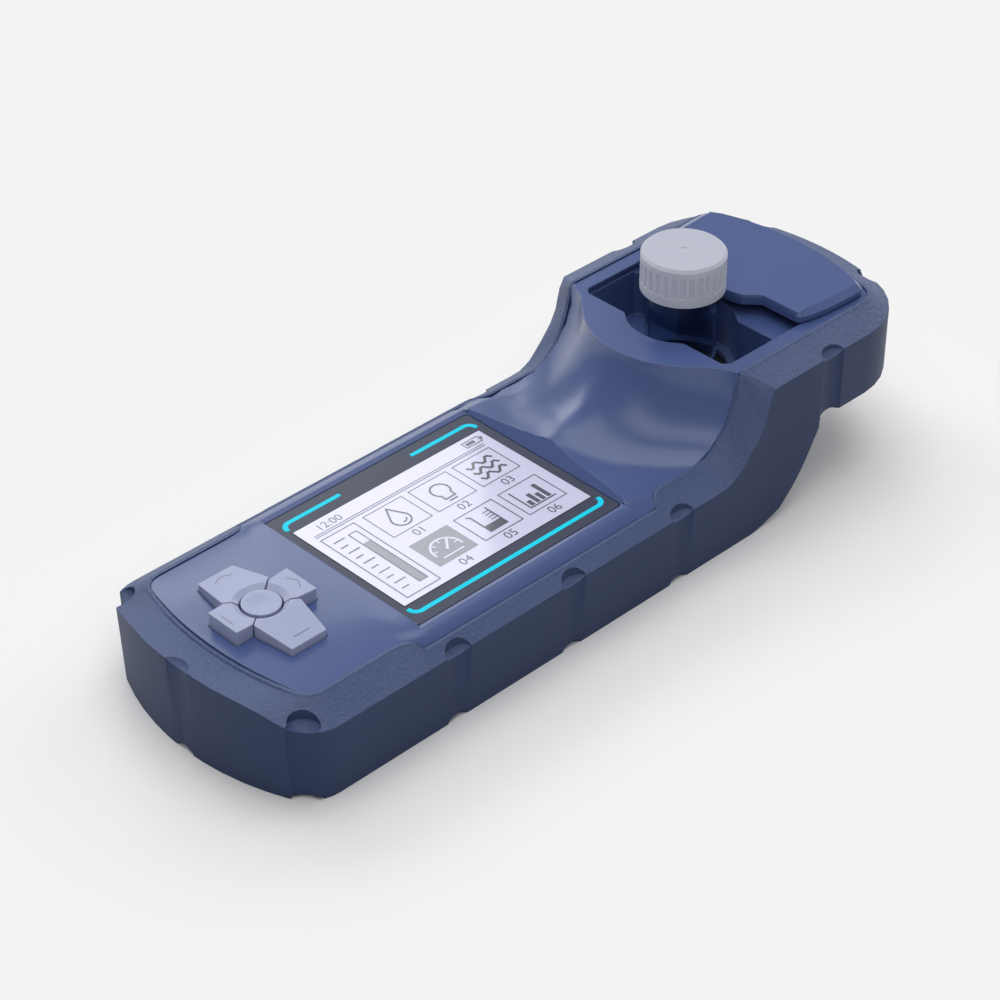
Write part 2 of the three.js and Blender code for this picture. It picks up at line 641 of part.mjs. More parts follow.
// Free space for the well block where the housings close in on it.
function blockRoom() {
  const flange = rod(well.flange + gap, 0, axisS, blockTop - well.flangeThickness - gap, blockTop + gap,
    facets.fine);
  return flange.add(rod(well.outer + gap, 0, axisS, wellLow - gap, blockTop, facets.fine));
}

function topHousing(form, hollow) {
  const roof = belowSplit(shell.seal);
  let made = form.subtract(hollow);
  for (const [x, s] of housingScrewPlaces) {
    made = made.add(screwBoss(x, s, split[0][1], parting.frontHeight - slip).intersect(form));
  }
  made = made.subtract(roof);
  for (const [x, s] of housingScrewPlaces) {
    made = made.subtract(rod(screw.pilotRadius, x, s, 0, screw.seat + screw.length + gap, facets.tiny));
  }
  const b = bezel;
  made = made.subtract(roundedPlate(-b.half, b.half, b.front, b.rear, b.corner, b.top - b.thickness, sky));
  const wallTop = saddleStartHeights[0][1];
  const rearWall = [
    [b.rear - over, b.top], [b.rear, b.top], [b.rear + wallTop - b.top, wallTop],
    [b.rear + wallTop - b.top, wallTop + over], [b.rear - over, wallTop + over],
  ];
  made = made.subtract(acrossX(rearWall, -b.half, b.half));
  for (const side of [1, -1]) {
    const strip = extrude([[0, 0], [b.slopeWidth, b.slopeHeight], [0, b.slopeHeight]].map(([x, z]) => [
      side * (x + b.half - slip), z + b.top,
    ]), b.front, b.rear + slip);
    made = made.subtract(strip.rotate([halfTurn / 2, 0, 0]).scale([1, -1, 1]));
  }
  const open = lit.half + opening.side;
  const [openFront, openRear] = [lit.front - opening.front, lit.rear + opening.rear];
  made = made.subtract(box(-open, open, openFront, openRear, split[0][1], sky));
  for (const points of Object.values(keyPlans)) {
    made = made.subtract(extrude(keyHole(points, gap), split[0][1], sky));
  }
  made = made.subtract(rod(keypad.wellRadius, 0, keypad.s, split[0][1], sky));
  made = made.subtract(extrude(pocketPoints(0), pocket.floor, sky));
  const r = recess;
  made = made.subtract(roundedPlate(-pocket.half, pocket.half, axisS, r.rear, r.corner, r.floor, sky));
  const wide = pocket.half + groove.depth;
  made = made.subtract(box(-wide, wide, groove.front, groove.rear, groove.low, groove.high));
  made = made.subtract(blockRoom());
  return made.subtract(rod(wellHole, 0, axisS, blockTop - well.flangeThickness, sky, facets.fine));
}

const floorLow = boot.flangeThickness + gap;
const seatedBottom = vial.seatedCapTop - cap.height - vial.bodyLength;
const wellLow = seatedBottom - slip - well.bottomWall;

function bottomHousing(form, hollow) {
  let made = form.subtract(hollow);
  const columnOuter = well.outer + gap + well.columnWall;
  const column = rod(columnOuter, 0, axisS, wellLow - gap - well.columnWall, split[2][1], facets.fine);
  const outerBelow = column.subtract(hollow).intersect(belowSplit(0));
  made = made.add(outerBelow);
  for (const [x, s] of housingScrewPlaces) {
    made = made.add(screwBoss(x, s, floorLow, split[0][1]));
  }
  const d = door;
  const inner = d.half - d.ledge;
  const wide = d.half + shell.wall;
  const frameTop = floorLow + d.thickness + d.sealThickness + d.frameHeight;
  const frame = roundedPlate(-wide, wide, d.front - shell.wall, d.rear + shell.wall, d.corner, floorLow,
    frameTop);
  made = made.add(frame);
  made = made.intersect(belowSplit(0));
  for (const x of [d.screwX, -d.screwX]) {
    const bossLow = floorLow + d.thickness;
    made = made.add(rod(d.bossRadius, x, d.screwS, bossLow, floorLow + d.bossHeight, facets.small));
  }
  const ledge = floorLow + d.thickness + d.sealThickness;
  made = made.subtract(roundedPlate(-d.half - gap, d.half + gap, d.front - gap, d.rear + gap, d.corner,
    -over, ledge));
  const bay = roundedPlate(-inner, inner, d.front + d.ledge, d.rear - d.ledge, d.corner / 2, 0, split[0][1]);
  let bosses = box(-inner, inner, d.screwS - d.bossRadius, d.rear, 0, split[0][1]);
  bosses = bosses.intersect(rod(d.bossRadius, d.screwX, d.screwS, 0, split[0][1], facets.small)
    .add(rod(d.bossRadius, -d.screwX, d.screwS, 0, split[0][1], facets.small)));
  made = made.subtract(bay.subtract(bosses));
  for (const [x, s] of housingScrewPlaces) {
    made = made.subtract(rod(screw.headRadius + gap, x, s, 0, screw.seat, facets.small));
    made = made.subtract(rod(screw.boreRadius, x, s, 0, split[0][1] + over, facets.small));
  }
  for (const x of [d.screwX, -d.screwX]) {
    const holeTop = floorLow + d.bossHeight - gap;
    made = made.subtract(rod(doorScrew.shankRadius + slip, x, d.screwS, 0, holeTop, facets.tiny));
  }
  return made.subtract(blockRoom());
}

function housingGasket(form, hollow) {
  const line = shell.seal;
  const slab = belowSplit(line - slip).subtract(belowSplit(slip));
  const inset = boot.wall + gap + shell.sealInset;
  const slim = prism(underRing(inset, 0, 0), -over, sky);
  return form.subtract(hollow).intersect(slab).intersect(slim).subtract(blockRoom());
}

function machineScrew(x, s, low, size) {
  const head = rod(size.headRadius, x, s, low, low + size.headHeight, facets.small);
  const shank = rod(size.shankRadius, x, s, low, low + size.headHeight + size.length - slip, facets.tiny);
  const socket = rod(size.headRadius / 2, x, s, low - over, low + size.headHeight / 2, 6);
  return head.add(shank).subtract(socket);
}

function displayPieces() {
  const b = bezel;
  const low = b.top - b.thickness;
  const outer = roundedPlate(-b.half + gap, b.half - gap, b.front + gap, b.rear - gap, b.corner, low, b.top);
  const window = box(-lit.half, lit.half, lit.front, lit.rear, low - over, sky);
  piece('display_bezel', outer.subtract(window), 'slate');
  const glassHalf = lit.half - slip;
  const glass = box(-glassHalf, glassHalf, lit.front + slip, lit.rear - slip, low, b.top);
  piece('display_glass', glass, 'glass');
  const p = panel.margin;
  const panelLow = low - slip - panel.thickness;
  const flat = box(-lit.half - p, lit.half + p, lit.front - p, lit.rear + p, panelLow, low - slip);
  piece('lcd_panel', flat, 'screen');
  const t = tray.margin;
  const trayLow = panelLow - slip - tray.thickness;
  const whole = box(-lit.half - t, lit.half + t, lit.front - p, lit.rear + p, trayLow, panelLow - slip);
  const inner = lit.half;
  const cut = box(-inner, inner, lit.front, lit.rear, trayLow + tray.floor, sky);
  piece('backlight_tray', whole.subtract(cut), 'cap');
}

function keyPieces() {
  const k = keypad;
  const coneDrop = k.top - k.biteFloor;
  const spread = ((k.biteHigh - k.biteLow) * over) / coneDrop;
  const dish = turned([[0, k.foot - over], [k.biteLow, k.foot - over], [k.biteLow, k.biteFloor],
    [k.biteHigh, k.top], [k.biteHigh + spread, k.top + over], [0, k.top + over]], 0, k.s, facets.round);
  const fall = (k.top - k.outerTop) / (k.outer - k.innerHalf);
  for (const [name, points] of Object.entries(keyPlans)) {
    let made = extrude(keyHole(points, 0), k.foot, k.top).subtract(dish);
    if (points === sideKey || name === 'key_left') {
      const side = name === 'key_left' ? -1 : 1;
      const far = k.outer + over;
      const wedge = [[k.innerHalf, k.top], [far, k.top - fall * (far - k.innerHalf)], [far, k.top + over],
        [k.innerHalf, k.top + over]];
      const tool = extrude(wedge.map(([x, z]) => [side * x, z]), 0, body.width)
        .rotate([halfTurn / 2, 0, 0]).translate([0, k.s + half, 0]);
      made = made.subtract(tool);
      const tabs = [k.outer - over / 2, k.outer + k.tab].map((x) => x * side).sort((a, b) => a - b);
      const [front, rear] = [k.s - k.tabHalf, k.s + k.tabHalf];
      made = made.add(box(tabs[0], tabs[1], front, rear, k.foot, k.foot + k.tabThickness));
    } else {
      const outer = points === upKey ? upKey[2][1] : downKey[2][1];
      const sign = Math.sign(outer);
      const ends = [outer - sign * over / 2, outer + sign * k.tab].map((d) => d + k.s).sort((a, b) => a - b);
      made = made.add(box(-k.tabHalf, k.tabHalf, ends[0], ends[1], k.foot, k.foot + k.tabThickness));
    }
    piece(name, made, 'key');
  }
  const ball = solidOf(new THREE.SphereGeometry(k.dishRadius, facets.round, facets.small))
    .translate([0, k.s, k.roundTop + k.dishRadius - k.dishDepth]);
  const middle = rod(k.roundRadius, 0, k.s, k.foot, k.roundTop);
  piece('key_centre', middle.subtract(ball), 'key');
  const matTop = k.foot - k.travel - gap - mat.domeHeight;
  let sheet = box(-mat.half, mat.half, mat.front, mat.rear, board.low + board.thickness, matTop);
  for (const [x, d] of domes) {
    sheet = sheet.add(rod(mat.domeRadius, x, k.s + d, board.low + board.thickness, matTop + mat.domeHeight,
      facets.tiny));
  }
  piece('key_mat', sheet, 'ribbon');
}

function coverRing(share, z) {
  const plan = coverOutline.map(([x, s]) => [x, s]);
  const whole = mirrored(plan);
  const inner = grown(whole, -1);
  return coverOutline.map(([x, s, bevel], i) => {
    const at = [x + (inner[i][0] - x) * bevel * share, s + (inner[i][1] - s) * bevel * share];
    if (x === 0) at[0] = 0;
    return [at[0], at[1], z];
  });
}

function coverPieces() {
  const c = cover;
  const made = ladder([coverRing(0, c.low), coverRing(0, c.high - c.shoulder), coverRing(1, c.high)]);
  piece('sliding_cover', made, 'housing');
  for (const side of [1, -1]) {
    const g = guide;
    const points = [[g.inner, g.footLow], [g.foot, g.footLow], [g.foot, g.footHigh], [g.web, g.footHigh],
      [g.web, c.low], [g.inner, c.low]];
    const strip = extrude(points, -g.rear, -g.front).rotate([halfTurn / 2, 0, 0]);
    const placed = side > 0 ? strip : strip.mirror([1, 0, 0]);
    piece(side > 0 ? 'cover_guide_right' : 'cover_guide_left', placed, 'dark');
  }
}

function vialPieces() {
  const v = vial;
  const lift = v.raised;
  const capLow = v.seatedCapTop - cap.height + lift;
  const bottom = capLow - v.bodyLength;
  const neckTop = capLow + v.neckHeight;
  const shoulderLow = capLow - v.shoulder;
  const inner = v.radius - v.wall;
  const neckInner = v.neckRadius - v.wall;
  const glass = turned([
    [0, bottom], [v.radius - v.wall / 2, bottom], [v.radius, bottom + v.wall / 2], [v.radius, shoulderLow],
    [v.neckRadius, capLow - slip], [v.neckRadius, neckTop], [neckInner, neckTop],
    [neckInner, capLow - slip], [inner, shoulderLow], [inner, bottom + v.base], [0, bottom + v.base],
  ], 0, axisS, facets.round);
  piece('vial_glass', glass, 'glass');
  const waterLow = bottom + v.base + slip;
  piece('water_sample', rod(inner - slip, 0, axisS, waterLow, waterLow + v.fill, facets.round), 'water');
  const linerLow = neckTop + slip;
  const linerTop = linerLow + liner.thickness;
  piece('cap_liner', rod(liner.radius, 0, axisS, linerLow, linerTop, facets.small), 'rubber');
  const top = capLow + cap.height;
  let made = turned([
    [0, capLow], [cap.radius, capLow], [cap.radius, top - cap.topBevel], [cap.topRadius, top], [0, top],
  ], 0, 0, cap.grooves + cap.grooves);
  const away = cap.radius + cap.grooveRadius - cap.grooveDepth;
  const grooveTop = top - cap.smooth - cap.grooveRadius;
  const arch = solidOf(new THREE.SphereGeometry(cap.grooveRadius, facets.ball, facets.ball / 2));
  const groove = rod(cap.grooveRadius, away, 0, capLow + cap.band, grooveTop, facets.ball)
    .add(arch.rotate([halfTurn / 2, 0, 0]).translate([away, 0, grooveTop]));
  const cuts = [];
  for (let i = 0; i < cap.grooves; i += 1) {
    const turn = ((halfTurn + halfTurn) * i) / cap.grooves;
    cuts.push(groove.rotate([0, 0, turn]));
  }
  made = made.subtract(wasm.Manifold.union(cuts)).translate([0, axisS, 0]);
  made = made.subtract(rod(v.neckRadius + gap, 0, axisS, capLow - over, linerTop + slip));
  made = made.subtract(rod(cap.markRadius, 0, axisS, top - cap.markDepth, top + over, facets.tiny));
  piece('vial_cap', made, 'cap');
}

function opticsPieces() {
  const w = well;
  const top = blockTop;
  let block = turned([
    [0, wellLow], [w.outer, wellLow], [w.outer, top - w.flangeThickness], [w.flange, top - w.flangeThickness],
    [w.flange, top], [w.mouth, top], [w.mouth, top - slip], [w.bore, top - w.mouthDepth],
    [w.bore, seatedBottom - slip], [0, seatedBottom - slip],
  ], 0, axisS, facets.fine);
  for (const z of lampHeights) {
    const hole = rodX(optics.holeRadius, -w.outer - over, -w.bore + gap + gap, axisS, z, facets.tiny);
    block = block.subtract(hole);
  }
  for (const z of sensorHeights) {
    const hole = rodX(optics.holeRadius, w.bore - gap - gap, w.outer + over, axisS, z, facets.tiny);
    block = block.subtract(hole);
  }
  piece('well_block', block, 'dark');
  const o = optics;
  const boardX = w.outer + o.reach / 2;
  lampHeights.forEach((z, i) => {
    const front = -w.bore - gap - o.sink;
    piece(`lamp_${i + 1}`, rodX(o.lampRadius, -boardX, front, axisS, z, facets.tiny), 'glass');
  });
  sensorHeights.forEach((z, i) => {
    const front = w.bore + gap + o.sink;
    piece(`sensor_${i + 1}`, rodX(o.lampRadius, front, boardX, axisS, z, facets.tiny), 'dark');
  });
  for (const side of [1, -1]) {
    const ends = [boardX, boardX + o.boardThickness].map((x) => x * side).sort((a, b) => a - b);
    const flat = box(ends[0], ends[1], axisS - o.boardFront, axisS + o.boardRear, o.boardLow, o.boardHigh);
    piece(side > 0 ? 'sensor_board' : 'lamp_board', flat, 'board');
  }
}

function batteryPieces() {
  const c = cell;
  const span = (c.count - 1) * c.pitch;
  const rear = c.front + c.length;
  for (let i = 0; i < c.count; i += 1) {
    const x = i * c.pitch - span / 2;
    const sign = i % 2 ? 1 : -1;
    const nub = sign > 0 ? rodS(c.nub, rear - c.nubLength - slip, rear, x, c.axisHeight, facets.tiny)
      : rodS(c.nub, c.front, c.front + c.nubLength + slip, x, c.axisHeight, facets.tiny);
    const low = c.front + (sign > 0 ? 0 : c.nubLength);
    const high = rear - (sign > 0 ? c.nubLength : 0);
    piece(`battery_cell_${i + 1}`, rodS(c.radius, low, high, x, c.axisHeight, facets.small).add(nub), 'cell');
  }
  const edge = span / 2 + c.radius;
  const t = contact;
  const roofLow = c.axisHeight + c.radius + gap;
  const wallLow = c.axisHeight - holder.depth;
  const side = edge + gap;
  const [front, back] = [c.front - holder.endGap, rear + holder.endGap];
  const h = holder;
  let frame = box(-side - h.wall, side + h.wall, front - h.wall, back + h.wall, wallLow, roofLow + h.roof);
  frame = frame.subtract(box(-side, side, front, back, -over, roofLow));
  piece('battery_holder', frame, 'dark');
  const [plateLow, plateHigh] = [c.axisHeight - t.height / 2, c.axisHeight + t.height / 2];
  const plate = (from, to) => box(-edge, edge, from, to, plateLow, plateHigh);
  let frontPlate = plate(front + slip, front + slip + t.thickness);
  let rearPlate = plate(back - slip - t.thickness, back - slip);
  for (let i = 0; i < c.count; i += 1) {
    const x = i * c.pitch - span / 2;
    const frontSpring = rodS(t.springRadius, front + slip, c.front - slip, x, c.axisHeight, facets.tiny);
    const rearSpring = rodS(t.springRadius, rear + slip, back - slip, x, c.axisHeight, facets.tiny);
    frontPlate = frontPlate.add(frontSpring);
    rearPlate = rearPlate.add(rearSpring);
  }
  piece('battery_contact_front', frontPlate, 'steel');
  piece('battery_contact_rear', rearPlate, 'steel');
}

function doorPieces() {
  const d = door;
  const top = floorLow + d.thickness - slip;
  let plate = roundedPlate(-d.half, d.half, d.front, d.rear, d.corner, floorLow, top);
  const headLow = floorLow + doorScrew.sink;
  for (const x of [d.screwX, -d.screwX]) {
    plate = plate.subtract(rod(doorScrew.headRadius + slip, x, d.screwS, 0, headLow + doorScrew.headHeight,
      facets.small));
    plate = plate.subtract(rod(doorScrew.shankRadius + slip, x, d.screwS, 0, floorLow + over, facets.tiny));
  }
  piece('battery_door', plate, 'lower');
  const low = floorLow + d.thickness - slip;
  const inset = d.sealWidth + gap;
  const outer = roundedPlate(-d.half + gap, d.half - gap, d.front + gap, d.rear - gap, d.corner, low,
    low + d.sealThickness);
  const hole = roundedPlate(-d.half + inset, d.half - inset, d.front + inset, d.rear - inset, d.corner,
    low - over, sky);
  piece('door_seal', outer.subtract(hole), 'rubber');
  piece('door_screw_right', machineScrew(d.screwX, d.screwS, headLow, doorScrew), 'steel');
  piece('door_screw_left', machineScrew(-d.screwX, d.screwS, headLow, doorScrew), 'steel');
}

function boardPieces() {
  const b = board;
  const flat = box(-b.half, b.half, b.front, b.rear, b.low, b.low + b.thickness - slip);
  piece('main_board', flat, 'board');
  const low = ribbonPath;
  const high = [...ribbonPath].reverse().map(([s, z]) => [s, z + ribbon.thickness]);
  piece('ribbon_cable', acrossX([...low, ...high], -ribbon.right, -ribbon.left), 'ribbon');
}

const form = housingForm();
const room = housingRoom();
piece('bumper_boot', bumperBoot(), 'boot');
piece('top_housing', topHousing(form, topHollow(room)), 'housing');
piece('bottom_housing', bottomHousing(form, room), 'lower');
piece('housing_gasket', housingGasket(form, room), 'rubber');
housingScrewPlaces.forEach(([x, s], i) => {
  const low = screw.seat - screw.headHeight;
  piece(`housing_screw_${i + 1}`, machineScrew(x, s, low, screw), 'steel');
});
displayPieces();
keyPieces();
coverPieces();
vialPieces();
opticsPieces();
batteryPieces();
doorPieces();
boardPieces();

export default group;
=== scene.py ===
# %% [markdown]
# A handheld water analyzer
#
# The object is a moulded instrument in a rubber bumper. Its parts were drawn in CAD and packed with their
# joints. This lesson loads them as a fixed frame, lights them in a small studio and gives every visible
# surface a finish of its own.

# %% Load the frame
import json
import math

import bmesh
import bpy
from mathutils import Matrix, Vector


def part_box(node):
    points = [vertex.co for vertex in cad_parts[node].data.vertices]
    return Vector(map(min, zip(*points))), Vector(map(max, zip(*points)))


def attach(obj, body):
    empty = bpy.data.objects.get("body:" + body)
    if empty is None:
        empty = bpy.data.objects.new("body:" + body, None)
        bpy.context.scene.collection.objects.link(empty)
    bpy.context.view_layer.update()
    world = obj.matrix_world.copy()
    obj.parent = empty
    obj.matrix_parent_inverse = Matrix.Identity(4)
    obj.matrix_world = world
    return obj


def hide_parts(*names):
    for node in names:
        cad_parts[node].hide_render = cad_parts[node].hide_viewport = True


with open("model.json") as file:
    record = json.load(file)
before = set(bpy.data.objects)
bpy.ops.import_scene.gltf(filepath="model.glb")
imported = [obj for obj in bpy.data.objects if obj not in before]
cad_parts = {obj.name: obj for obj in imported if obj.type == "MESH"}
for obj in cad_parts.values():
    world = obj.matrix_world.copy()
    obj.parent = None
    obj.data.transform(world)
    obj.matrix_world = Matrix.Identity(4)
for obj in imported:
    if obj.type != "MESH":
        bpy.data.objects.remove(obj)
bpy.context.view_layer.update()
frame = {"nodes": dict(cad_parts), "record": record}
nodes = frame["nodes"]
MM = 0.001
LENGTH, WIDTH = 0.265, 0.088
NOSE = -LENGTH / 2


# %% [markdown]
# Camera
#
# The photograph was taken with a long lens, from above the nose and to the right. The lens, place and
# angles come from fitting the object's known width and length to the picture, so the camera is set to them
# directly and no aiming helper is needed.

# %% Set the camera
LENS, SENSOR = 102.95, 36.0
CAMERA_PLACE = (0.48884, -0.48643, 0.52187)
LOOKING_DOWN, TURNED = 36.126, 45.73


def linked(name, data):
    """A new object for the data, placed in the scene's collection."""
    piece = bpy.data.objects.new(name, data)
    bpy.context.collection.objects.link(piece)
    return piece


camera_data = bpy.data.cameras.new("camera")
camera_data.lens = LENS
camera_data.sensor_width = SENSOR
camera_data.clip_end = 20.0
camera = linked("camera", camera_data)
camera.location = CAMERA_PLACE
camera.rotation_euler = (math.radians(90 - LOOKING_DOWN), 0.0, math.radians(TURNED))
scene = bpy.context.scene
scene.camera = camera
scene.view_settings.view_transform = "Standard"
print("camera at", tuple(round(v, 3) for v in camera.location))


# %% [markdown]
# Helpers for materials
#
# Every material here is a Principled shader with its own node tree. Small helpers start a material and add
# nodes, so that each finish below reads as a short recipe. A Mix node keeps its sockets for numbers,
# vectors and colours side by side under the same titles, so the four for colours are named by their place.

# %% Material helpers
FACTOR, FIRST, SECOND, MIXED = 0, 6, 7, 2


def linear(r, g, b):
    """A colour as it is seen on screen, from 0 to 255, made linear for the shader."""
    def one(v):
        v = v / 255
        return v / 12.92 if v <= 0.04045 else ((v + 0.055) / 1.055) ** 2.4
    return (one(r), one(g), one(b), 1.0)


def darker(colour, share):
    """A linear colour, cut down to a share of itself."""
    return tuple(v * share for v in colour[:3]) + (1.0,)


def start_material(name, colour, roughness, metallic=0.0):
    material = bpy.data.materials.new(name)
    material.use_nodes = True
    shader = material.node_tree.nodes["Principled BSDF"]
    shader.inputs["Base Color"].default_value = colour
    shader.inputs["Roughness"].default_value = roughness
    shader.inputs["Metallic"].default_value = metallic
    return material, material.node_tree, shader


def add(tree, kind, **values):
    """A new node. A value goes to the setting of that name, or else to the socket with that title."""
    node = tree.nodes.new(kind)
    for name, value in values.items():
        if hasattr(node, name):
            setattr(node, name, value)
        else:
            node.inputs[name.replace("_", " ")].default_value = value
    return node


def colour_mixer(tree):
    return add(tree, "ShaderNodeMix", data_type="RGBA")


print("mid grey is", round(linear(128, 128, 128)[0], 3), "when linear")


# %% [markdown]
# Shared effects
#
# Moulded plastic and rubber are never perfectly even. Three effects are used by several materials, so each
# is a node group with named inputs: two of them give that unevenness, and the third paints highlights
# along edges. The first is the fine grain of a mould: rounded cells for a leathery look and noise for a
# plain one, mixed by a softness.

# %% Start a group, and build the moulded grain
def new_group(name, inputs, outputs):
    group = bpy.data.node_groups.new(name, "ShaderNodeTree")
    for title, kind, value in inputs:
        socket = group.interface.new_socket(title, in_out="INPUT", socket_type=kind)
        socket.default_value = value
    for title, kind in outputs:
        group.interface.new_socket(title, in_out="OUTPUT", socket_type=kind)
    return group, group.nodes.new("NodeGroupInput"), group.nodes.new("NodeGroupOutput")


def moulded_grain():
    """Fine grain as a height."""
    group, given, out = new_group(
        "moulded grain",
        [("Scale", "NodeSocketFloat", 900.0), ("Softness", "NodeSocketFloat", 0.5)],
        [("Height", "NodeSocketFloat")],
    )
    place = add(group, "ShaderNodeTexCoord")
    cells = add(group, "ShaderNodeTexVoronoi", feature="SMOOTH_F1")
    cells.inputs["Smoothness"].default_value = 0.6
    noise = add(group, "ShaderNodeTexNoise", Detail=3.0)
    mix = add(group, "ShaderNodeMix")
    group.links.new(place.outputs["Object"], cells.inputs["Vector"])
    group.links.new(place.outputs["Object"], noise.inputs["Vector"])
    group.links.new(given.outputs["Scale"], cells.inputs["Scale"])
    group.links.new(given.outputs["Scale"], noise.inputs["Scale"])
    group.links.new(given.outputs["Softness"], mix.inputs["Factor"])
    group.links.new(cells.outputs["Distance"], mix.inputs["A"])
    group.links.new(noise.outputs["Fac"], mix.inputs["B"])
    group.links.new(mix.outputs["Result"], out.inputs["Height"])
    return group


grain_group = moulded_grain()
print("group", grain_group.name)


# %% [markdown]
# Cloudy tint
#
# The colour of a moulding drifts a little from place to place. Broad noise between two near colours gives
# that drift without a picture.

# %% Build the cloudy tint
def cloudy_tint():
    """A slow, faint change between two colours."""
    group, given, out = new_group(
        "cloudy tint",
        [("Colour A", "NodeSocketColor", (1, 1, 1, 1)), ("Colour B", "NodeSocketColor", (1, 1, 1, 1)),
         ("Scale", "NodeSocketFloat", 30.0)],
        [("Colour", "NodeSocketColor")],
    )
    place = add(group, "ShaderNodeTexCoord")
    noise = add(group, "ShaderNodeTexNoise", Detail=2.0)
    mix = colour_mixer(group)
    group.links.new(place.outputs["Object"], noise.inputs["Vector"])
    group.links.new(given.outputs["Scale"], noise.inputs["Scale"])
    group.links.new(noise.outputs["Fac"], mix.inputs[FACTOR])
    group.links.new(given.outputs["Colour A"], mix.inputs[FIRST])
    group.links.new(given.outputs["Colour B"], mix.inputs[SECOND])
    group.links.new(mix.outputs[MIXED], out.inputs["Colour"])
    return group


tint_group = cloudy_tint()
print("group", tint_group.name)


# %% [markdown]
# Painted edge highlights
#
# Edges are painted in a lighter colour, as painted highlights where a rounded edge would catch the light.
# The Bevel node gives the normal that a rounded edge would have. Where it leaves the plain normal, their
# dot product falls under one, and a range turns that fall into a mask. Noise breaks the mask up, so that
# the painted highlight isn't a drawn line.

# %% Build the edge highlight mask
EDGE_STARTS, EDGE_FULL = 0.985, 0.86
BEVEL_SAMPLES = 6


def edge_highlight_mask():
    """A mask along sharp edges, for painted highlights."""
    group, given, out = new_group(
        "edge highlight mask",
        [("Radius", "NodeSocketFloat", 0.0005), ("Amount", "NodeSocketFloat", 1.0),
         ("Breakup", "NodeSocketFloat", 60.0)],
        [("Mask", "NodeSocketFloat")],
    )
    geometry = add(group, "ShaderNodeNewGeometry")
    bevel = add(group, "ShaderNodeBevel", samples=BEVEL_SAMPLES)
    dot = add(group, "ShaderNodeVectorMath", operation="DOT_PRODUCT")
    ramp = add(group, "ShaderNodeMapRange", From_Min=EDGE_STARTS, From_Max=EDGE_FULL)
    place = add(group, "ShaderNodeTexCoord")
    noise = add(group, "ShaderNodeTexNoise")
    broken = add(group, "ShaderNodeMath", operation="MULTIPLY")
    scaled = add(group, "ShaderNodeMath", operation="MULTIPLY")
    group.links.new(place.outputs["Object"], noise.inputs["Vector"])
    group.links.new(given.outputs["Breakup"], noise.inputs["Scale"])
    group.links.new(given.outputs["Radius"], bevel.inputs["Radius"])
    group.links.new(bevel.outputs["Normal"], dot.inputs[0])
    group.links.new(geometry.outputs["Normal"], dot.inputs[1])
    group.links.new(dot.outputs["Value"], ramp.inputs["Value"])
    group.links.new(ramp.outputs["Result"], broken.inputs[0])
    group.links.new(noise.outputs["Fac"], broken.inputs[1])
    group.links.new(broken.outputs[0], scaled.inputs[0])
    group.links.new(given.outputs["Amount"], scaled.inputs[1])
    group.links.new(scaled.outputs[0], out.inputs["Mask"])
    return group


highlight_mask_group = edge_highlight_mask()
print("group", highlight_mask_group.name)


# %% [markdown]
# From effects to finishes
#
# A finish places the groups in its own tree with its own values: the tint and the painted edge highlights
# feed the base colour, and the grain becomes a bump on a normal that is already rounded at the edges.

# %% Place the effects in a material
EDGE_BREAKUP = 90.0
GRAIN_DEPTH = 0.0002


def place_group(tree, group, **values):
    node = tree.nodes.new("ShaderNodeGroup")
    node.node_tree = group
    for title, value in values.items():
        node.inputs[title.replace("_", " ")].default_value = value
    return node


def tint(tree, shader, first, second, scale):
    """Feeds the base colour from two near colours."""
    cloud = place_group(tree, tint_group, Colour_A=first, Colour_B=second, Scale=scale)
    tree.links.new(cloud.outputs["Colour"], shader.inputs["Base Color"])


def paint_edge_highlights(tree, shader, colour, radius, amount):
    """Lays a lighter colour over the base colour along the edges, as a painted highlight."""
    under = shader.inputs["Base Color"].links[0].from_socket
    edge = place_group(tree, highlight_mask_group, Radius=radius, Amount=amount, Breakup=EDGE_BREAKUP)
    over = colour_mixer(tree)
    over.inputs[SECOND].default_value = colour
    tree.links.new(edge.outputs["Mask"], over.inputs[FACTOR])
    tree.links.new(under, over.inputs[FIRST])
    tree.links.new(over.outputs[MIXED], shader.inputs["Base Color"])


def rounded(tree, radius):
    """A normal that rounds each edge by radius, so that it catches the light."""
    bevel = add(tree, "ShaderNodeBevel", samples=BEVEL_SAMPLES)
    bevel.inputs["Radius"].default_value = radius
    return bevel.outputs["Normal"]


def rough_bump(tree, shader, scale, softness, strength, radius=0.0):
    """Grain as a bump, on top of rounded edges where radius is set."""
    grain = place_group(tree, grain_group, Scale=scale, Softness=softness)
    bump = add(tree, "ShaderNodeBump", Strength=strength, Distance=GRAIN_DEPTH)
    tree.links.new(grain.outputs["Height"], bump.inputs["Height"])
    if radius:
        tree.links.new(rounded(tree, radius), bump.inputs["Normal"])
    tree.links.new(bump.outputs["Normal"], shader.inputs["Normal"])


print("effects ready:", len(bpy.data.node_groups), "groups")


# %% [markdown]
# Bumper rubber
#
# The bumper is smooth on its walls, and its wide slope has a fine leather grain with soft wrinkles. One
# material serves both: the object-space normal tells slope from walls. The mask drives the strength of the
# bump and not its height, because a masked height would make a step of its own. The same mask also paints
# light and shade: the slopes, which look up, get a lighter colour as painted sheen, and the upright walls
# a darker one as painted shade.

# %% Bumper material
SLOPE_STARTS, SLOPE_FULL = 0.1, 0.3
LEATHER_DEPTH = 0.0005
LEATHER_STRENGTH = 0.6


def slope_mask(tree):
    """0 on upright walls and 1 on faces that look up."""
    place = add(tree, "ShaderNodeTexCoord")
    split = add(tree, "ShaderNodeSeparateXYZ")
    slope = add(tree, "ShaderNodeMapRange", From_Min=SLOPE_STARTS, From_Max=SLOPE_FULL)
    tree.links.new(place.outputs["Normal"], split.inputs[0])
    tree.links.new(split.outputs["Z"], slope.inputs["Value"])
    return slope.outputs["Result"]


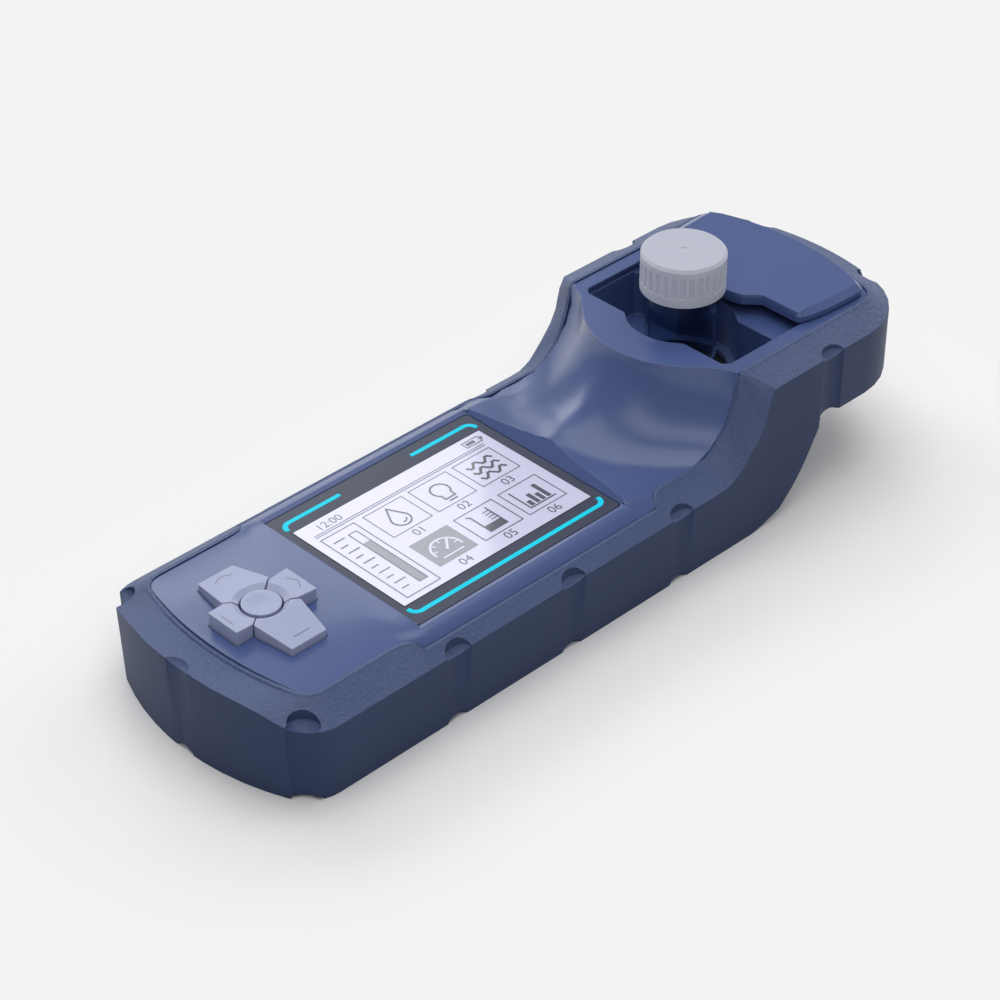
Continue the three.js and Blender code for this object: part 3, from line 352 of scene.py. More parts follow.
def leather_height(tree):
    """Fine grain with soft wrinkles added to it."""
    place = add(tree, "ShaderNodeTexCoord")
    grain = place_group(tree, grain_group, Scale=1100.0, Softness=0.4)
    wrinkles = add(tree, "ShaderNodeTexNoise", Scale=420.0, Detail=4.0, Distortion=1.4)
    both = add(tree, "ShaderNodeMath", operation="ADD")
    tree.links.new(place.outputs["Object"], wrinkles.inputs["Vector"])
    tree.links.new(grain.outputs["Height"], both.inputs[0])
    tree.links.new(wrinkles.outputs["Fac"], both.inputs[1])
    return both.outputs[0]


def bumper_rubber():
    material, tree, shader = start_material("bumper rubber", linear(52, 66, 102), 0.5)
    # Painted light and shade: a darker colour for the walls and a lighter one for the slopes that look up.
    shaded_wall_tint = place_group(
        tree, tint_group, Scale=25.0, Colour_A=linear(47, 61, 96), Colour_B=linear(51, 65, 100)
    )
    lit_slope_tint = place_group(
        tree, tint_group, Scale=60.0, Colour_A=linear(72, 87, 128), Colour_B=linear(82, 97, 136)
    )
    slope = slope_mask(tree)
    base = colour_mixer(tree)
    gloss = add(tree, "ShaderNodeMapRange", To_Min=0.2, To_Max=0.42)
    strength = add(tree, "ShaderNodeMath", operation="MULTIPLY")
    strength.inputs[1].default_value = LEATHER_STRENGTH
    bump = add(tree, "ShaderNodeBump", Distance=LEATHER_DEPTH)
    links = tree.links
    links.new(slope, base.inputs[FACTOR])
    links.new(shaded_wall_tint.outputs["Colour"], base.inputs[FIRST])
    links.new(lit_slope_tint.outputs["Colour"], base.inputs[SECOND])
    links.new(base.outputs[MIXED], shader.inputs["Base Color"])
    links.new(slope, gloss.inputs["Value"])
    links.new(gloss.outputs["Result"], shader.inputs["Specular IOR Level"])
    links.new(slope, strength.inputs[0])
    links.new(strength.outputs[0], bump.inputs["Strength"])
    links.new(leather_height(tree), bump.inputs["Height"])
    links.new(rounded(tree, 0.0003), bump.inputs["Normal"])
    links.new(bump.outputs["Normal"], shader.inputs["Normal"])
    return material


bumper = bumper_rubber()
print("bumper nodes", len(bumper.node_tree.nodes))


# %% [markdown]
# Recipes for plastic, metal and glass
#
# The housing is a glossy moulding with a faint orange peel under a thin coat. The keys and the cap are
# satin. The parts inside have plain engineering finishes, which differ in colour, roughness and metal. The
# vial and its water are clear, and they bend the light little, so that the well shows through them.

# %% Recipes
def glossy_housing():
    material, tree, shader = start_material("glossy housing", linear(73, 91, 143), 0.3)
    tint(tree, shader, linear(71, 89, 140), linear(75, 94, 147), 14.0)
    # Painted highlights: the edges get a lighter colour.
    paint_edge_highlights(tree, shader, linear(128, 146, 190), 0.0004, 0.8)
    rough_bump(tree, shader, scale=260.0, softness=0.9, strength=0.05, radius=0.0005)
    shader.inputs["Coat Weight"].default_value = 0.25
    shader.inputs["Coat Roughness"].default_value = 0.18
    return material


def satin(name, colour, other, roughness, radius=0.0004, edge=None):
    material, tree, shader = start_material(name, colour, roughness)
    tint(tree, shader, colour, other, 40.0)
    # A given edge colour is painted along the edges, as a painted highlight.
    if edge:
        paint_edge_highlights(tree, shader, edge, radius, 1.5)
    rough_bump(tree, shader, scale=1400.0, softness=0.7, strength=0.08, radius=radius)
    return material


def plain(name, colour, roughness, metallic=0.0):
    """A finish for the parts inside, with its own faint grain."""
    material, tree, shader = start_material(name, colour, roughness, metallic)
    tint(tree, shader, colour, darker(colour, 0.82), 60.0)
    rough_bump(tree, shader, scale=800.0, softness=0.6, strength=0.06)
    return material


def clear_glass(name, tinted, roughness, bending):
    material, tree, shader = start_material(name, tinted, roughness)
    shader.inputs["Transmission Weight"].default_value = 1.0
    shader.inputs["IOR"].default_value = bending
    return material


# %% [markdown]
# The finishes
#
# Each colour started from the photograph and was tuned until the render agreed with it, because light and
# gloss change what a colour looks like. The keys and the cap get a pale rim along their edges, which is a
# painted highlight.

# %% Mix the finishes
housing = glossy_housing()
# The edge colours of the keys and the cap are painted highlights.
key_plastic = satin(
    "key plastic", linear(170, 178, 209), linear(164, 172, 204), 0.42, edge=linear(214, 219, 238)
)
cap_plastic = satin(
    "cap plastic", linear(190, 194, 209), linear(184, 188, 204), 0.5, edge=linear(240, 242, 250)
)
slate = satin("slate bezel", linear(60, 66, 88), linear(56, 62, 84), 0.3, 0.0002)
slate.node_tree.nodes["Principled BSDF"].inputs["Specular IOR Level"].default_value = 0.3
lower_plastic = satin("lower housing plastic", linear(52, 60, 86), linear(48, 56, 80), 0.5)
black_plastic = plain("black plastic", linear(20, 21, 25), 0.55)
black_rubber = plain("seal rubber", linear(30, 31, 35), 0.8)
board_green = plain("board green", linear(28, 96, 54), 0.4)
steel = plain("plated steel", linear(190, 192, 197), 0.28, 1.0)
cell_wrap = plain("cell wrap", linear(120, 126, 138), 0.3)
silicone = plain("silicone and film", linear(206, 209, 215), 0.5)
glass = clear_glass("vial glass", (0.78, 0.83, 0.9, 1.0), 0.02, 1.3)
water = clear_glass("sample water", (0.8, 0.87, 0.93, 1.0), 0.0, 1.04)
print("materials", len(bpy.data.materials))


# %% [markdown]
# Lit display
#
# The display is a pale lilac field, lit from behind. A little emission keeps it readable in shade, and most
# of its look still comes from the light on it. Its clear front is a coat, and the inks of the figures have
# the same coat, because they lie behind that front.

# %% Display material and inks
FRONT_ROUGHNESS = 0.06


def lit_field():
    material, tree, shader = start_material("lit field", linear(198, 198, 226), 0.22)
    tint(tree, shader, linear(200, 200, 228), linear(194, 194, 222), 20.0)
    shader.inputs["Emission Color"].default_value = linear(206, 206, 236)
    shader.inputs["Emission Strength"].default_value = 0.18
    shader.inputs["Coat Weight"].default_value = 1.0
    shader.inputs["Coat Roughness"].default_value = FRONT_ROUGHNESS
    return material


def ink(name, colour, gloss=0.5, coat=0.0):
    material, tree, shader = start_material(name, colour, 0.35)
    shader.inputs["Specular IOR Level"].default_value = gloss
    shader.inputs["Coat Weight"].default_value = coat
    shader.inputs["Coat Roughness"].default_value = FRONT_ROUGHNESS
    tint(tree, shader, colour, darker(colour, 0.9), 200.0)
    return material


display_field = lit_field()
dark_ink = ink("dark ink", linear(74, 76, 94), coat=1.0)
field_ink = ink("field ink", linear(138, 140, 156), coat=1.0)
accent_blue = ink("accent blue", linear(8, 226, 255), 0.15)
legend_ink = ink("legend ink", linear(118, 124, 150))
print("materials with the display's", len(bpy.data.materials))


# %% [markdown]
# Smooth copies of the CAD pieces
#
# A imported CAD mesh is made of loose triangles, so it can only be shaded flat. Each piece that shows a
# curved face is therefore copied, its points are merged, and its edges are split into soft and sharp by
# their angle. The copy then stands for the node, and the node stays in the model for the motion checks,
# hidden.

# %% Copy, merge and shade
MERGE_WITHIN = 1e-6
FLAT_WITHIN = math.radians(0.6)
BODY_OF = {}
for body_name, members in frame["record"]["behaviour"]["bodies"].items():
    for member in members:
        BODY_OF[member] = body_name
SLOT_OF = {row["node"]: row["material_slot"] for row in frame["record"]["subparts"]}


def mesh_from(form, name):
    """Turns a bmesh into a mesh and frees it."""
    mesh = bpy.data.meshes.new(name)
    form.to_mesh(mesh)
    form.free()
    return mesh


def finish_piece(piece, material, body):
    piece.data.materials.clear()
    piece.data.materials.append(material)
    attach(piece, body)
    return piece


def smooth_copy(node, name, material, sharp, carved=None):
    """A merged copy of a node. Edges over sharp degrees stay sharp, and carved may cut its form."""
    form = bmesh.new()
    form.from_mesh(nodes[node].data)
    bmesh.ops.remove_doubles(form, verts=form.verts, dist=MERGE_WITHIN)
    if carved:
        form = carved(form)
    bmesh.ops.dissolve_limit(form, angle_limit=FLAT_WITHIN, verts=form.verts, edges=form.edges)
    limit = math.radians(sharp)
    for face in form.faces:
        face.smooth = True
    for edge in form.edges:
        edge.smooth = len(edge.link_faces) == 2 and edge.calc_face_angle(0.0) < limit
    piece = linked(name, mesh_from(form, name))
    weights = piece.modifiers.new("weighted normals", "WEIGHTED_NORMAL")
    weights.keep_sharp = True
    finish_piece(piece, material, BODY_OF[node])
    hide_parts(node)
    return piece


copies = [
    ("top_housing", "upper_shell", housing, 28.0),
    ("bottom_housing", "lower_shell", lower_plastic, 30.0),
    ("sliding_cover", "cover_plate", housing, 24.0),
    ("vial_cap", "ribbed_cap", cap_plastic, 30.0),
    ("vial_glass", "vial_body", glass, 30.0),
    ("water_sample", "sample_water", water, 30.0),
    ("well_block", "well_insert", black_plastic, 30.0),
    ("key_right", "right_key", key_plastic, 28.0),
    ("key_left", "left_key", key_plastic, 28.0),
    ("key_up", "upper_key", key_plastic, 28.0),
    ("key_down", "lower_key", key_plastic, 28.0),
    ("key_centre", "round_key", key_plastic, 28.0),
]
for node, name, material, sharp in copies:
    piece = smooth_copy(node, name, material, sharp)
    print(name, len(piece.data.polygons), "faces")


# %% [markdown]
# Corner bites of the bumper
#
# At its two front corners the bumper's bite should open through the wall and run down it as a shallow
# channel. The CAD piece keeps a thin skin in front of a slot there. The copy is finished with solid tools:
# one fills the slot, and the others cut the bite, its bowl, the channel and the notch at the wall itself.
# Closed tools and a closed bumper suit the manifold solver, which leaves no stray faces.

# %% Tools for the corner bites
BITE_X, BITE_BACK = 0.0384, 0.0124
BITE_TURN = 52
BITE_SHIFT = 0.00234
ROUND_SEGMENTS = 40


def upright_rod(deep, wide, low, high):
    """A closed elliptic rod along z, deep and wide as half widths."""
    form = bmesh.new()
    size = Matrix.Diagonal((deep, wide, high - low, 1.0))
    place = Matrix.Translation((0, 0, (low + high) / 2)) @ size
    bmesh.ops.create_cone(
        form, cap_ends=True, segments=ROUND_SEGMENTS, radius1=1.0, radius2=1.0, depth=1.0, matrix=place
    )
    return form


def hollow_ball(deep, wide, tall, x, z):
    """A ball stretched to three half widths, for a rounded hollow."""
    form = bmesh.new()
    place = Matrix.Translation((x, 0, z)) @ Matrix.Diagonal((deep, wide, tall, 1.0))
    bmesh.ops.create_uvsphere(
        form, u_segments=ROUND_SEGMENTS, v_segments=ROUND_SEGMENTS // 2, radius=1.0, matrix=place
    )
    return form


def corner_tool(form, side, outward):
    """Stands a tool at a front corner, turned to face out and moved outward from the CAD bite's centre."""
    turn = Matrix.Rotation(math.radians(-BITE_TURN if side > 0 else BITE_TURN - 180), 4, "Z")
    corner = Matrix.Translation((side * BITE_X, NOSE + BITE_BACK, 0))
    place = corner @ turn @ Matrix.Translation((outward, 0, 0))
    bmesh.ops.transform(form, matrix=place, verts=form.verts)
    return linked("corner tool", mesh_from(form, "corner tool"))


def evaluated_mesh(piece):
    """The mesh of an object after its modifiers, or of a text object."""
    bpy.context.view_layer.update()
    return bpy.data.meshes.new_from_object(piece.evaluated_get(bpy.context.evaluated_depsgraph_get()))


print("corner bites at", [round(v, 4) for v in (BITE_X, NOSE + BITE_BACK)], "metres")


# %% [markdown]
# Carving
#
# The tools of a corner share a few half widths. The bite is cut twice, at the CAD's place and at the wall,
# so that nothing of the skin between the two is left. The solver gives the same points each time, but not
# always in the same order, so they are sorted by place, and each run then ends with the same mesh.

# %% Carve the corner bites
BITE_WIDE = 0.0046
BITE_DEEP, BITE_LOW, BITE_TOP = 0.0033, 0.02538, 0.04
BOWL_TALL, NOTCH_TALL, NOTCH_OUT = 0.0022, 0.0024, 0.0015
CHANNEL_DEEP, CHANNEL_LOW = 0.0021, -0.001
PLUG_DEEP, PLUG_WIDE, PLUG_LOW, PLUG_GAP = 0.00125, 0.00462, 0.0012, 0.0001
CARVED_MERGE = 2e-6


def corner_tools(side):
    """The solid tools of one corner in their order, each with its operation."""
    plug = upright_rod(PLUG_DEEP, PLUG_WIDE, PLUG_LOW, BITE_LOW - PLUG_GAP)
    tools = [("UNION", corner_tool(plug, side, 0.0))]
    for outward in (0.0, BITE_SHIFT):
        bite = upright_rod(BITE_DEEP, BITE_WIDE, BITE_LOW, BITE_TOP)
        bowl = hollow_ball(BITE_DEEP, BITE_WIDE, BOWL_TALL, 0, BITE_LOW)
        for form in (bite, bowl):
            tools.append(("DIFFERENCE", corner_tool(form, side, outward)))
    channel = upright_rod(CHANNEL_DEEP, BITE_WIDE, CHANNEL_LOW, BITE_LOW)
    notch = hollow_ball(BITE_WIDE, BITE_WIDE, NOTCH_TALL, NOTCH_OUT, 0)
    for form in (channel, notch):
        tools.append(("DIFFERENCE", corner_tool(form, side, BITE_SHIFT)))
    return tools


def put_in_order(form):
    """Sorts points, edges and faces by their place."""
    for rank, vert in enumerate(sorted(form.verts, key=lambda v: tuple(v.co))):
        vert.index = rank
    form.verts.sort()
    for rows in (form.edges, form.faces):
        ranked = sorted(rows, key=lambda item: sorted(vert.index for vert in item.verts))
        for rank, item in enumerate(ranked):
            item.index = rank
        rows.sort()


def corner_bites(form):
    """Returns the bumper's form with both front corners filled and then cut again."""
    blank = linked("bumper blank", mesh_from(form, "bumper blank"))
    tools = corner_tools(1) + corner_tools(-1)
    for operation, tool in tools:
        step = blank.modifiers.new("corner", "BOOLEAN")
        step.operation = operation
        step.object = tool
        step.solver = "MANIFOLD"
    ready = evaluated_mesh(blank)
    for extra in [blank] + [tool for _, tool in tools]:
        bpy.data.objects.remove(extra)
    form = bmesh.new()
    form.from_mesh(ready)
    bmesh.ops.remove_doubles(form, verts=form.verts, dist=CARVED_MERGE)
    put_in_order(form)
    return form


piece = smooth_copy("bumper_boot", "bumper", bumper, 36.0, corner_bites)
print("bumper", len(piece.data.polygons), "faces")


# %% [markdown]
# Finishes for the pieces that stay as they are
#
# Flat pieces and the parts inside keep their CAD meshes and only get their material, by the slot that the
# record gives them. The display's front shows the lit field.

# %% Dress the remaining nodes
by_slot = {
    "lower": lower_plastic, "slate": slate, "glass": glass, "screen": display_field, "cap": cap_plastic,
    "dark": black_plastic, "rubber": black_rubber, "board": board_green, "steel": steel,
    "cell": cell_wrap, "ribbon": silicone,
}
copied = {row[0] for row in copies} | {"bumper_boot"}
for name, node in nodes.items():
    if name in copied:
        continue
    finish = display_field if name == "display_glass" else by_slot[SLOT_OF[name]]
    node.data.materials.clear()
    node.data.materials.append(finish)
print("copied", len(copied), "nodes, dressed", len(nodes) - len(copied))


# %% [markdown]
# Flat artwork
#
# The display's figures, the accent lines of the bezel and the marks on the keys are all thin films on a
# flat face. Each is drawn from strokes: a stroke is a one-face grid, scaled to its length and width and
# turned into place. A disc starts as a circle, and an arc is a row of short strokes.

# %% Strokes, discs and arcs
FILM_STEP = 0.000002
FILM_LEVELS = 24
DISC_SEGMENTS = 24


def lift(form):
    """Each next face of a film lies a hair higher, so that no two share a plane."""
    return FILM_STEP * (len(form.faces) % FILM_LEVELS)


def stroke(form, start, end, width, z):
    """A straight stroke from start to end, as x and y in metres."""
    start, end = Vector(start), Vector(end)
    along = end - start
    turn = Matrix.Rotation(math.atan2(along.y, along.x), 4, "Z")
    size = Matrix.Diagonal((along.length + width, width, 1.0, 1.0))
    middle = (start + end) / 2
    place = Matrix.Translation((middle.x, middle.y, z + lift(form))) @ turn @ size
    bmesh.ops.create_grid(form, x_segments=1, y_segments=1, size=0.5, matrix=place)


def polyline(form, points, width, z, closed=False):
    pairs = list(zip(points, points[1:]))
    if closed:
        pairs.append((points[-1], points[0]))
    for start, end in pairs:
        stroke(form, start, end, width, z)


def disc(form, centre, radius, z):
    place = Matrix.Translation((centre[0], centre[1], z + lift(form)))
    bmesh.ops.create_circle(form, cap_ends=True, segments=DISC_SEGMENTS, radius=radius, matrix=place)


def arc(centre, radius, first, last, count):
    """Points on an arc from first to last, in degrees."""
    points = []
    for i in range(count + 1):
        a = math.radians(first + (last - first) * i / count)
        points.append((centre[0] + radius * math.cos(a), centre[1] + radius * math.sin(a)))
    return points


def film(name, form, material, body):
    """Ends a flat artwork: its faces are turned up, then it rides on its body."""
    form.normal_update()
    for face in form.faces:
        if face.normal.z < 0:
            face.normal_flip()
    piece = finish_piece(linked(name, mesh_from(form, name)), material, body)
    print(name, len(piece.data.polygons), "faces")


# %% [markdown]
# Bezel lines
#
# The bezel carries a light blue line beside each long edge of the display, with a short hook at its ends.
# A thin dark strip along the display's right and front edges is a painted shadow at the joint between the
# bezel and the display.

# %% Draw the bezel lines
FILM_ABOVE = 0.00003
DISC_ABOVE = 0.00005
BEZEL_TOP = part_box("display_bezel")[1].z + FILM_ABOVE
LINE_X = 28.3 * MM
LINE_WIDTH = 1.5 * MM
HOOK = 2.7 * MM
HOOK_TURN = 82


def bezel_line(form, side, first, last, hook_start, hook_end):
    """A line along the body from first to last, with a turn inward at the hooked ends."""
    x = side * LINE_X
    points = [(x, NOSE + first * MM), (x, NOSE + last * MM)]
    for at_start, wanted in ((True, hook_start), (False, hook_end)):
        if not wanted:
            continue
        end = points[0] if at_start else points[-1]
        centre = (x - side * HOOK, end[1])
        bend = arc(centre, HOOK, 0, -HOOK_TURN if at_start else HOOK_TURN, 9)
        if side < 0:
            bend = [(2 * centre[0] - px, py) for px, py in bend]
        points = bend[::-1] + points if at_start else points + bend
    polyline(form, points, LINE_WIDTH, BEZEL_TOP)
    for end in (points[0], points[-1]):
        disc(form, end, LINE_WIDTH / 2, BEZEL_TOP + DISC_ABOVE)


# Side, first and last place in millimetres from the nose, and whether each end has its hook.
LINES = [
    (-1, 65.0, 84.0, True, False), (-1, 113.8, 134.6, False, True), (1, 65.0, 134.9, True, True),
]
lines = bmesh.new()
for row in LINES:
    bezel_line(lines, *row)
film("accent_lines", lines, accent_blue, "instrument")

# Painted shadow: a dark strip along the right and front edges of the display only.
SHADOW_STRIP_WIDTH, SHADOW_STRIP_OUT = 0.4 * MM, 0.0001
low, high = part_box("display_glass")
shadow_x, shadow_y = high.x + SHADOW_STRIP_OUT, low.y - SHADOW_STRIP_OUT
painted_shadow = bmesh.new()
stroke(painted_shadow, (shadow_x, low.y), (shadow_x, high.y), SHADOW_STRIP_WIDTH, BEZEL_TOP)
stroke(painted_shadow, (low.x, shadow_y), (high.x, shadow_y), SHADOW_STRIP_WIDTH, BEZEL_TOP)
film("window_painted_shadow", painted_shadow, black_plastic, "instrument")


# %% [markdown]
# Key marks
#
# The four outer keys carry thin marks: outward angles on two and dashes on the other two. The side keys
# fall away from the centre, so the points of their marks follow that slope.

# %% Draw the key marks
CROSS_Y = NOSE + 30.9 * MM
MARK_WIDTH = 0.28 * MM
MARK_ABOVE = 0.00004
SIDE_KEY_NEAR, SIDE_KEY_FAR = 0.007, 0.020
SIDE_KEY_HIGH, SIDE_KEY_LOW = 0.036, 0.034


def key_mark(name, node, points, top_at):
    form = bmesh.new()
    polyline(form, points, MARK_WIDTH, 0.0)
    for vert in form.verts:
        vert.co.z += top_at(vert.co)
    film(name, form, legend_ink, BODY_OF[node])


def flat_top(co):
    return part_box("key_up")[1].z + MARK_ABOVE


def sloped_top(co):
    fall = (SIDE_KEY_HIGH - SIDE_KEY_LOW) / (SIDE_KEY_FAR - SIDE_KEY_NEAR)
    return SIDE_KEY_HIGH - (abs(co.x) - SIDE_KEY_NEAR) * fall + MARK_ABOVE


key_mark(
    "mark_left", "key_left",
    [(-0.0163, CROSS_Y - 0.003), (-0.0179, CROSS_Y), (-0.0163, CROSS_Y + 0.003)], sloped_top,
)
key_mark(
    "mark_up", "key_up",
    [(-0.003, CROSS_Y + 0.0117), (0, CROSS_Y + 0.0133), (0.003, CROSS_Y + 0.0117)], flat_top,
)
key_mark("mark_right", "key_right", [(0.0168, CROSS_Y - 0.0027), (0.0168, CROSS_Y + 0.0027)], sloped_top)
key_mark("mark_down", "key_down", [(-0.0027, CROSS_Y - 0.0122), (0.0027, CROSS_Y - 0.0122)], flat_top)


# %% [markdown]
# Display figures
#
# The display shows a menu of framed tiles, a column with a level gauge and a header. All of it is a
# generic design: a drop, a lamp, a wave, a dial, a beaker and a chart, with plain numbers under them.
# The picture is read from the right side of the instrument, so its width runs along the body.

# %% Place of the display figures
GLASS_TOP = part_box("display_glass")[1].z + FILM_ABOVE
FIELD_DROP = -0.00001
DISPLAY_START = 62.4
TOP_X = -0.0238


def at(u, v):
    """A point u mm from the display's left end and v mm down from its top edge."""
    return (TOP_X + v * MM, NOSE + (DISPLAY_START + u) * MM)


def rectangle(form, u, v, wide, high, width):
    corners = [at(u, v), at(u + wide, v), at(u + wide, v + high), at(u, v + high)]
    polyline(form, corners, width * MM, GLASS_TOP, closed=True)


def filled(form, u, v, wide, high, z=0.0):
    """A solid field, with its top left corner at u and v."""
    x, y = at(u + wide / 2, v + high / 2)
    size = Matrix.Diagonal((high * MM, wide * MM, 1.0, 1.0))
    place = Matrix.Translation((x, y, GLASS_TOP + z)) @ size
    bmesh.ops.create_grid(form, x_segments=1, y_segments=1, size=0.5, matrix=place)


def drawn(form, points, width):
    polyline(form, [at(u, v) for u, v in points], width * MM, GLASS_TOP)


def round_line(form, u, v, radius, first, last, width, count=14):
    drawn(form, arc((u, v), radius, first, last, count), width)


print("display top", round(GLASS_TOP, 5))


# %% [markdown]
# Figures of the tiles
#
# Each figure is a function of its centre, in millimetres on the display, so that a tile can be moved
# without touching its drawing. Lines are 0.4 to 0.85 mm wide. The first row has a drop, a lamp and waves.

# %% Figures of the first row
def drop_figure(form, u, v):
    round_line(form, u, v + 1.5, 3.1, -18, 198, 0.6)
    drawn(form, [(u - 2.95, v + 0.5), (u, v - 5.0), (u + 2.95, v + 0.5)], 0.6)
    round_line(form, u, v + 1.5, 1.6, 20, 100, 0.5, 6)


def lamp_figure(form, u, v):
    round_line(form, u, v - 0.9, 3.1, 130, 410, 0.6)
    drawn(form, [(u - 1.9, v + 1.6), (u - 1.9, v + 3.6), (u + 1.9, v + 3.6), (u + 1.9, v + 1.6)], 0.6)
    drawn(form, [(u - 1.3, v + 4.9), (u + 1.3, v + 4.9)], 0.6)


def wave_figure(form, u, v):
    for row in (-3.0, 0.2, 3.4):
        points = [(u - 4.8 + 0.8 * i, v + row + 1.1 * math.sin(i * math.pi / 3)) for i in range(13)]
        drawn(form, points, 0.85)


# %% [markdown]
# Second row
#
# The dial is an arc with short ticks and a needle. The beaker has a filled lower part, and the bars of the
# chart are solid fields.

# %% Figures of the second row
def dial_figure(form, u, v):
    round_line(form, u, v + 1.6, 5.0, 172, 368, 0.7)
    drawn(form, [(u, v + 1.6), (u + 2.6, v - 1.6)], 0.8)
    for a in (190, 230, 270, 310, 350):
        c, s = math.cos(math.radians(a)), math.sin(math.radians(a))
        drawn(form, [(u + 3.5 * c, v + 1.6 + 3.5 * s), (u + 4.3 * c, v + 1.6 + 4.3 * s)], 0.5)
    drawn(form, [(u - 3.6, v + 4.4), (u + 3.6, v + 4.4)], 0.6)


def beaker_figure(form, u, v):
    left, right, foot = u - 3.3, u + 3.3, v + 4.6
    drawn(form, [(u - 4.1, v - 4.9), (left, v - 4.2), (left, foot), (right, foot), (right, v - 4.9)], 0.55)
    for i in range(4):
        drawn(form, [(u + 1.0, v - 3.4 + 1.3 * i), (u + 3.1, v - 3.4 + 1.3 * i)], 0.4)
    filled(form, u - 3.1, v + 1.6, 6.2, 2.8)


def chart_figure(form, u, v):
    drawn(form, [(u - 4.8, v - 4.8), (u - 4.8, v + 4.6), (u + 5.0, v + 4.6)], 0.55)
    for i, height in enumerate((2.6, 5.2, 3.8, 7.6)):
        filled(form, u - 3.9 + 2.2 * i, v + 4.0 - height, 1.5, height)


# %% [markdown]
# Tiles
#
# The figures are collected in three films: dark lines, grey fields and, on the one tile that is chosen and
# so filled, a figure in the pale colour of the display. The grey fields lie a hair under the lines.

# %% Draw the tiles
TILES = [
    (19.6, 8.6, drop_figure), (37.4, 8.6, lamp_figure), (55.2, 8.6, wave_figure),
    (19.6, 28.0, dial_figure), (37.4, 28.0, beaker_figure), (55.2, 28.0, chart_figure),
]
TILE_WIDE, TILE_HIGH, CHOSEN = 15.0, 13.4, 3
FRAME_LINE = 0.36
figures, pale, fields = bmesh.new(), bmesh.new(), bmesh.new()
for i, (u, v, figure) in enumerate(TILES):
    middle_u, middle_v = u + TILE_WIDE / 2, v + TILE_HIGH / 2
    if i == CHOSEN:
        filled(fields, u, v, TILE_WIDE, TILE_HIGH, FIELD_DROP)
        figure(pale, middle_u, middle_v)
    else:
        rectangle(figures, u, v, TILE_WIDE, TILE_HIGH, FRAME_LINE)
        figure(figures, middle_u, middle_v)
print("tiles", len(TILES))


# %% [markdown]
# Gauge and header
#
# The column at the left is a level gauge: a frame with ticks beside it, filled from below up to its level.
# The header is a battery symbol over two long rules.

# %% Draw the gauge and the header
GAUGE_U, GAUGE_V, GAUGE_WIDE, GAUGE_HIGH = 11.0, 12.0, 3.0, 30.0
LEVEL = 24.0
SYMBOL_LINE = 0.4
rectangle(figures, 3.4, 8.6, 12.6, 36.6, FRAME_LINE)
for i in range(10):
    v = 12.2 + 3.2 * i
    drawn(figures, [(5.4, v), (7.6 if i % 2 else 9.2, v)], 0.5)
filled(fields, GAUGE_U, GAUGE_V + GAUGE_HIGH - LEVEL, GAUGE_WIDE, LEVEL, FIELD_DROP)
rectangle(figures, GAUGE_U, GAUGE_V, GAUGE_WIDE, GAUGE_HIGH, SYMBOL_LINE)

# The outline, charge and pole of the battery symbol, and the two rules.
rectangle(figures, 65.4, 1.8, 6.2, 2.8, SYMBOL_LINE)
filled(figures, 66.1, 2.5, 3.4, 1.4)
filled(figures, 71.9, 2.6, 0.7, 1.2)
for v in (6.0, 6.9):
    drawn(figures, [(3.4, v), (70.2, v)], 0.3)
film("display_figures", figures, dark_ink, "instrument")
film("chosen_figure", pale, display_field, "instrument")
film("display_fields", fields, field_ink, "instrument")


# %% [markdown]
# Plain numbers
#
# Under each tile stands its number. Text objects are made into meshes before they are placed, so that the
# finished piece sits at the origin like every other.

# %% Write the numbers
SIZE_PER_HEIGHT = 1.4
NUMBER_HEIGHT, NUMBER_BELOW = 3.2, 4.1


def number(name, words, u, v, height):
    data = bpy.data.curves.new(name, "FONT")
    data.body = words
    data.size = height * MM * SIZE_PER_HEIGHT
    data.align_x = "CENTER"
    maker = linked(name + "_maker", data)
    mesh = evaluated_mesh(maker)
    bpy.data.objects.remove(maker)
    x, y = at(u, v)
    mesh.transform(Matrix.Translation((x, y, GLASS_TOP)) @ Matrix.Rotation(math.radians(90), 4, "Z"))
    finish_piece(linked(name, mesh), dark_ink, "instrument")
    print(name, words, len(mesh.polygons), "faces")


for i, (u, v, _) in enumerate(TILES):
    below = v + TILE_HIGH + NUMBER_BELOW
    number(f"tile_number_{i + 1}", f"{i + 1:02d}", u + TILE_WIDE / 2, below, NUMBER_HEIGHT)
number("header_number", "12:00", 11.0, 4.9, 3.0)


# %% [markdown]
# Floor
#
# The studio is a pale floor under a broad soft light. Near the object the floor is a plain diffuse surface,
# which takes the shadow. Farther out it turns into an even pale tone, by the distance outside the
# object's length and width, so that the background stays the same everywhere. Only rays that a viewer
# sees, from the camera, off a gloss or through glass, get that tone, so it adds no light to the object.
# For them the plain part is a little paler too.

# %% Masks of the floor
FADE_STARTS, FADE_FULL = 0.004, 0.075


def seen_rays(tree):
    """1 for a ray that a viewer sees."""
    ray = add(tree, "ShaderNodeLightPath")
    direct = add(tree, "ShaderNodeMath", operation="MAXIMUM")
    seen = add(tree, "ShaderNodeMath", operation="MAXIMUM")
    tree.links.new(ray.outputs["Is Camera Ray"], direct.inputs[0])
    tree.links.new(ray.outputs["Is Glossy Ray"], direct.inputs[1])
    tree.links.new(direct.outputs[0], seen.inputs[0])
    tree.links.new(ray.outputs["Is Transmission Ray"], seen.inputs[1])
    return seen.outputs[0]


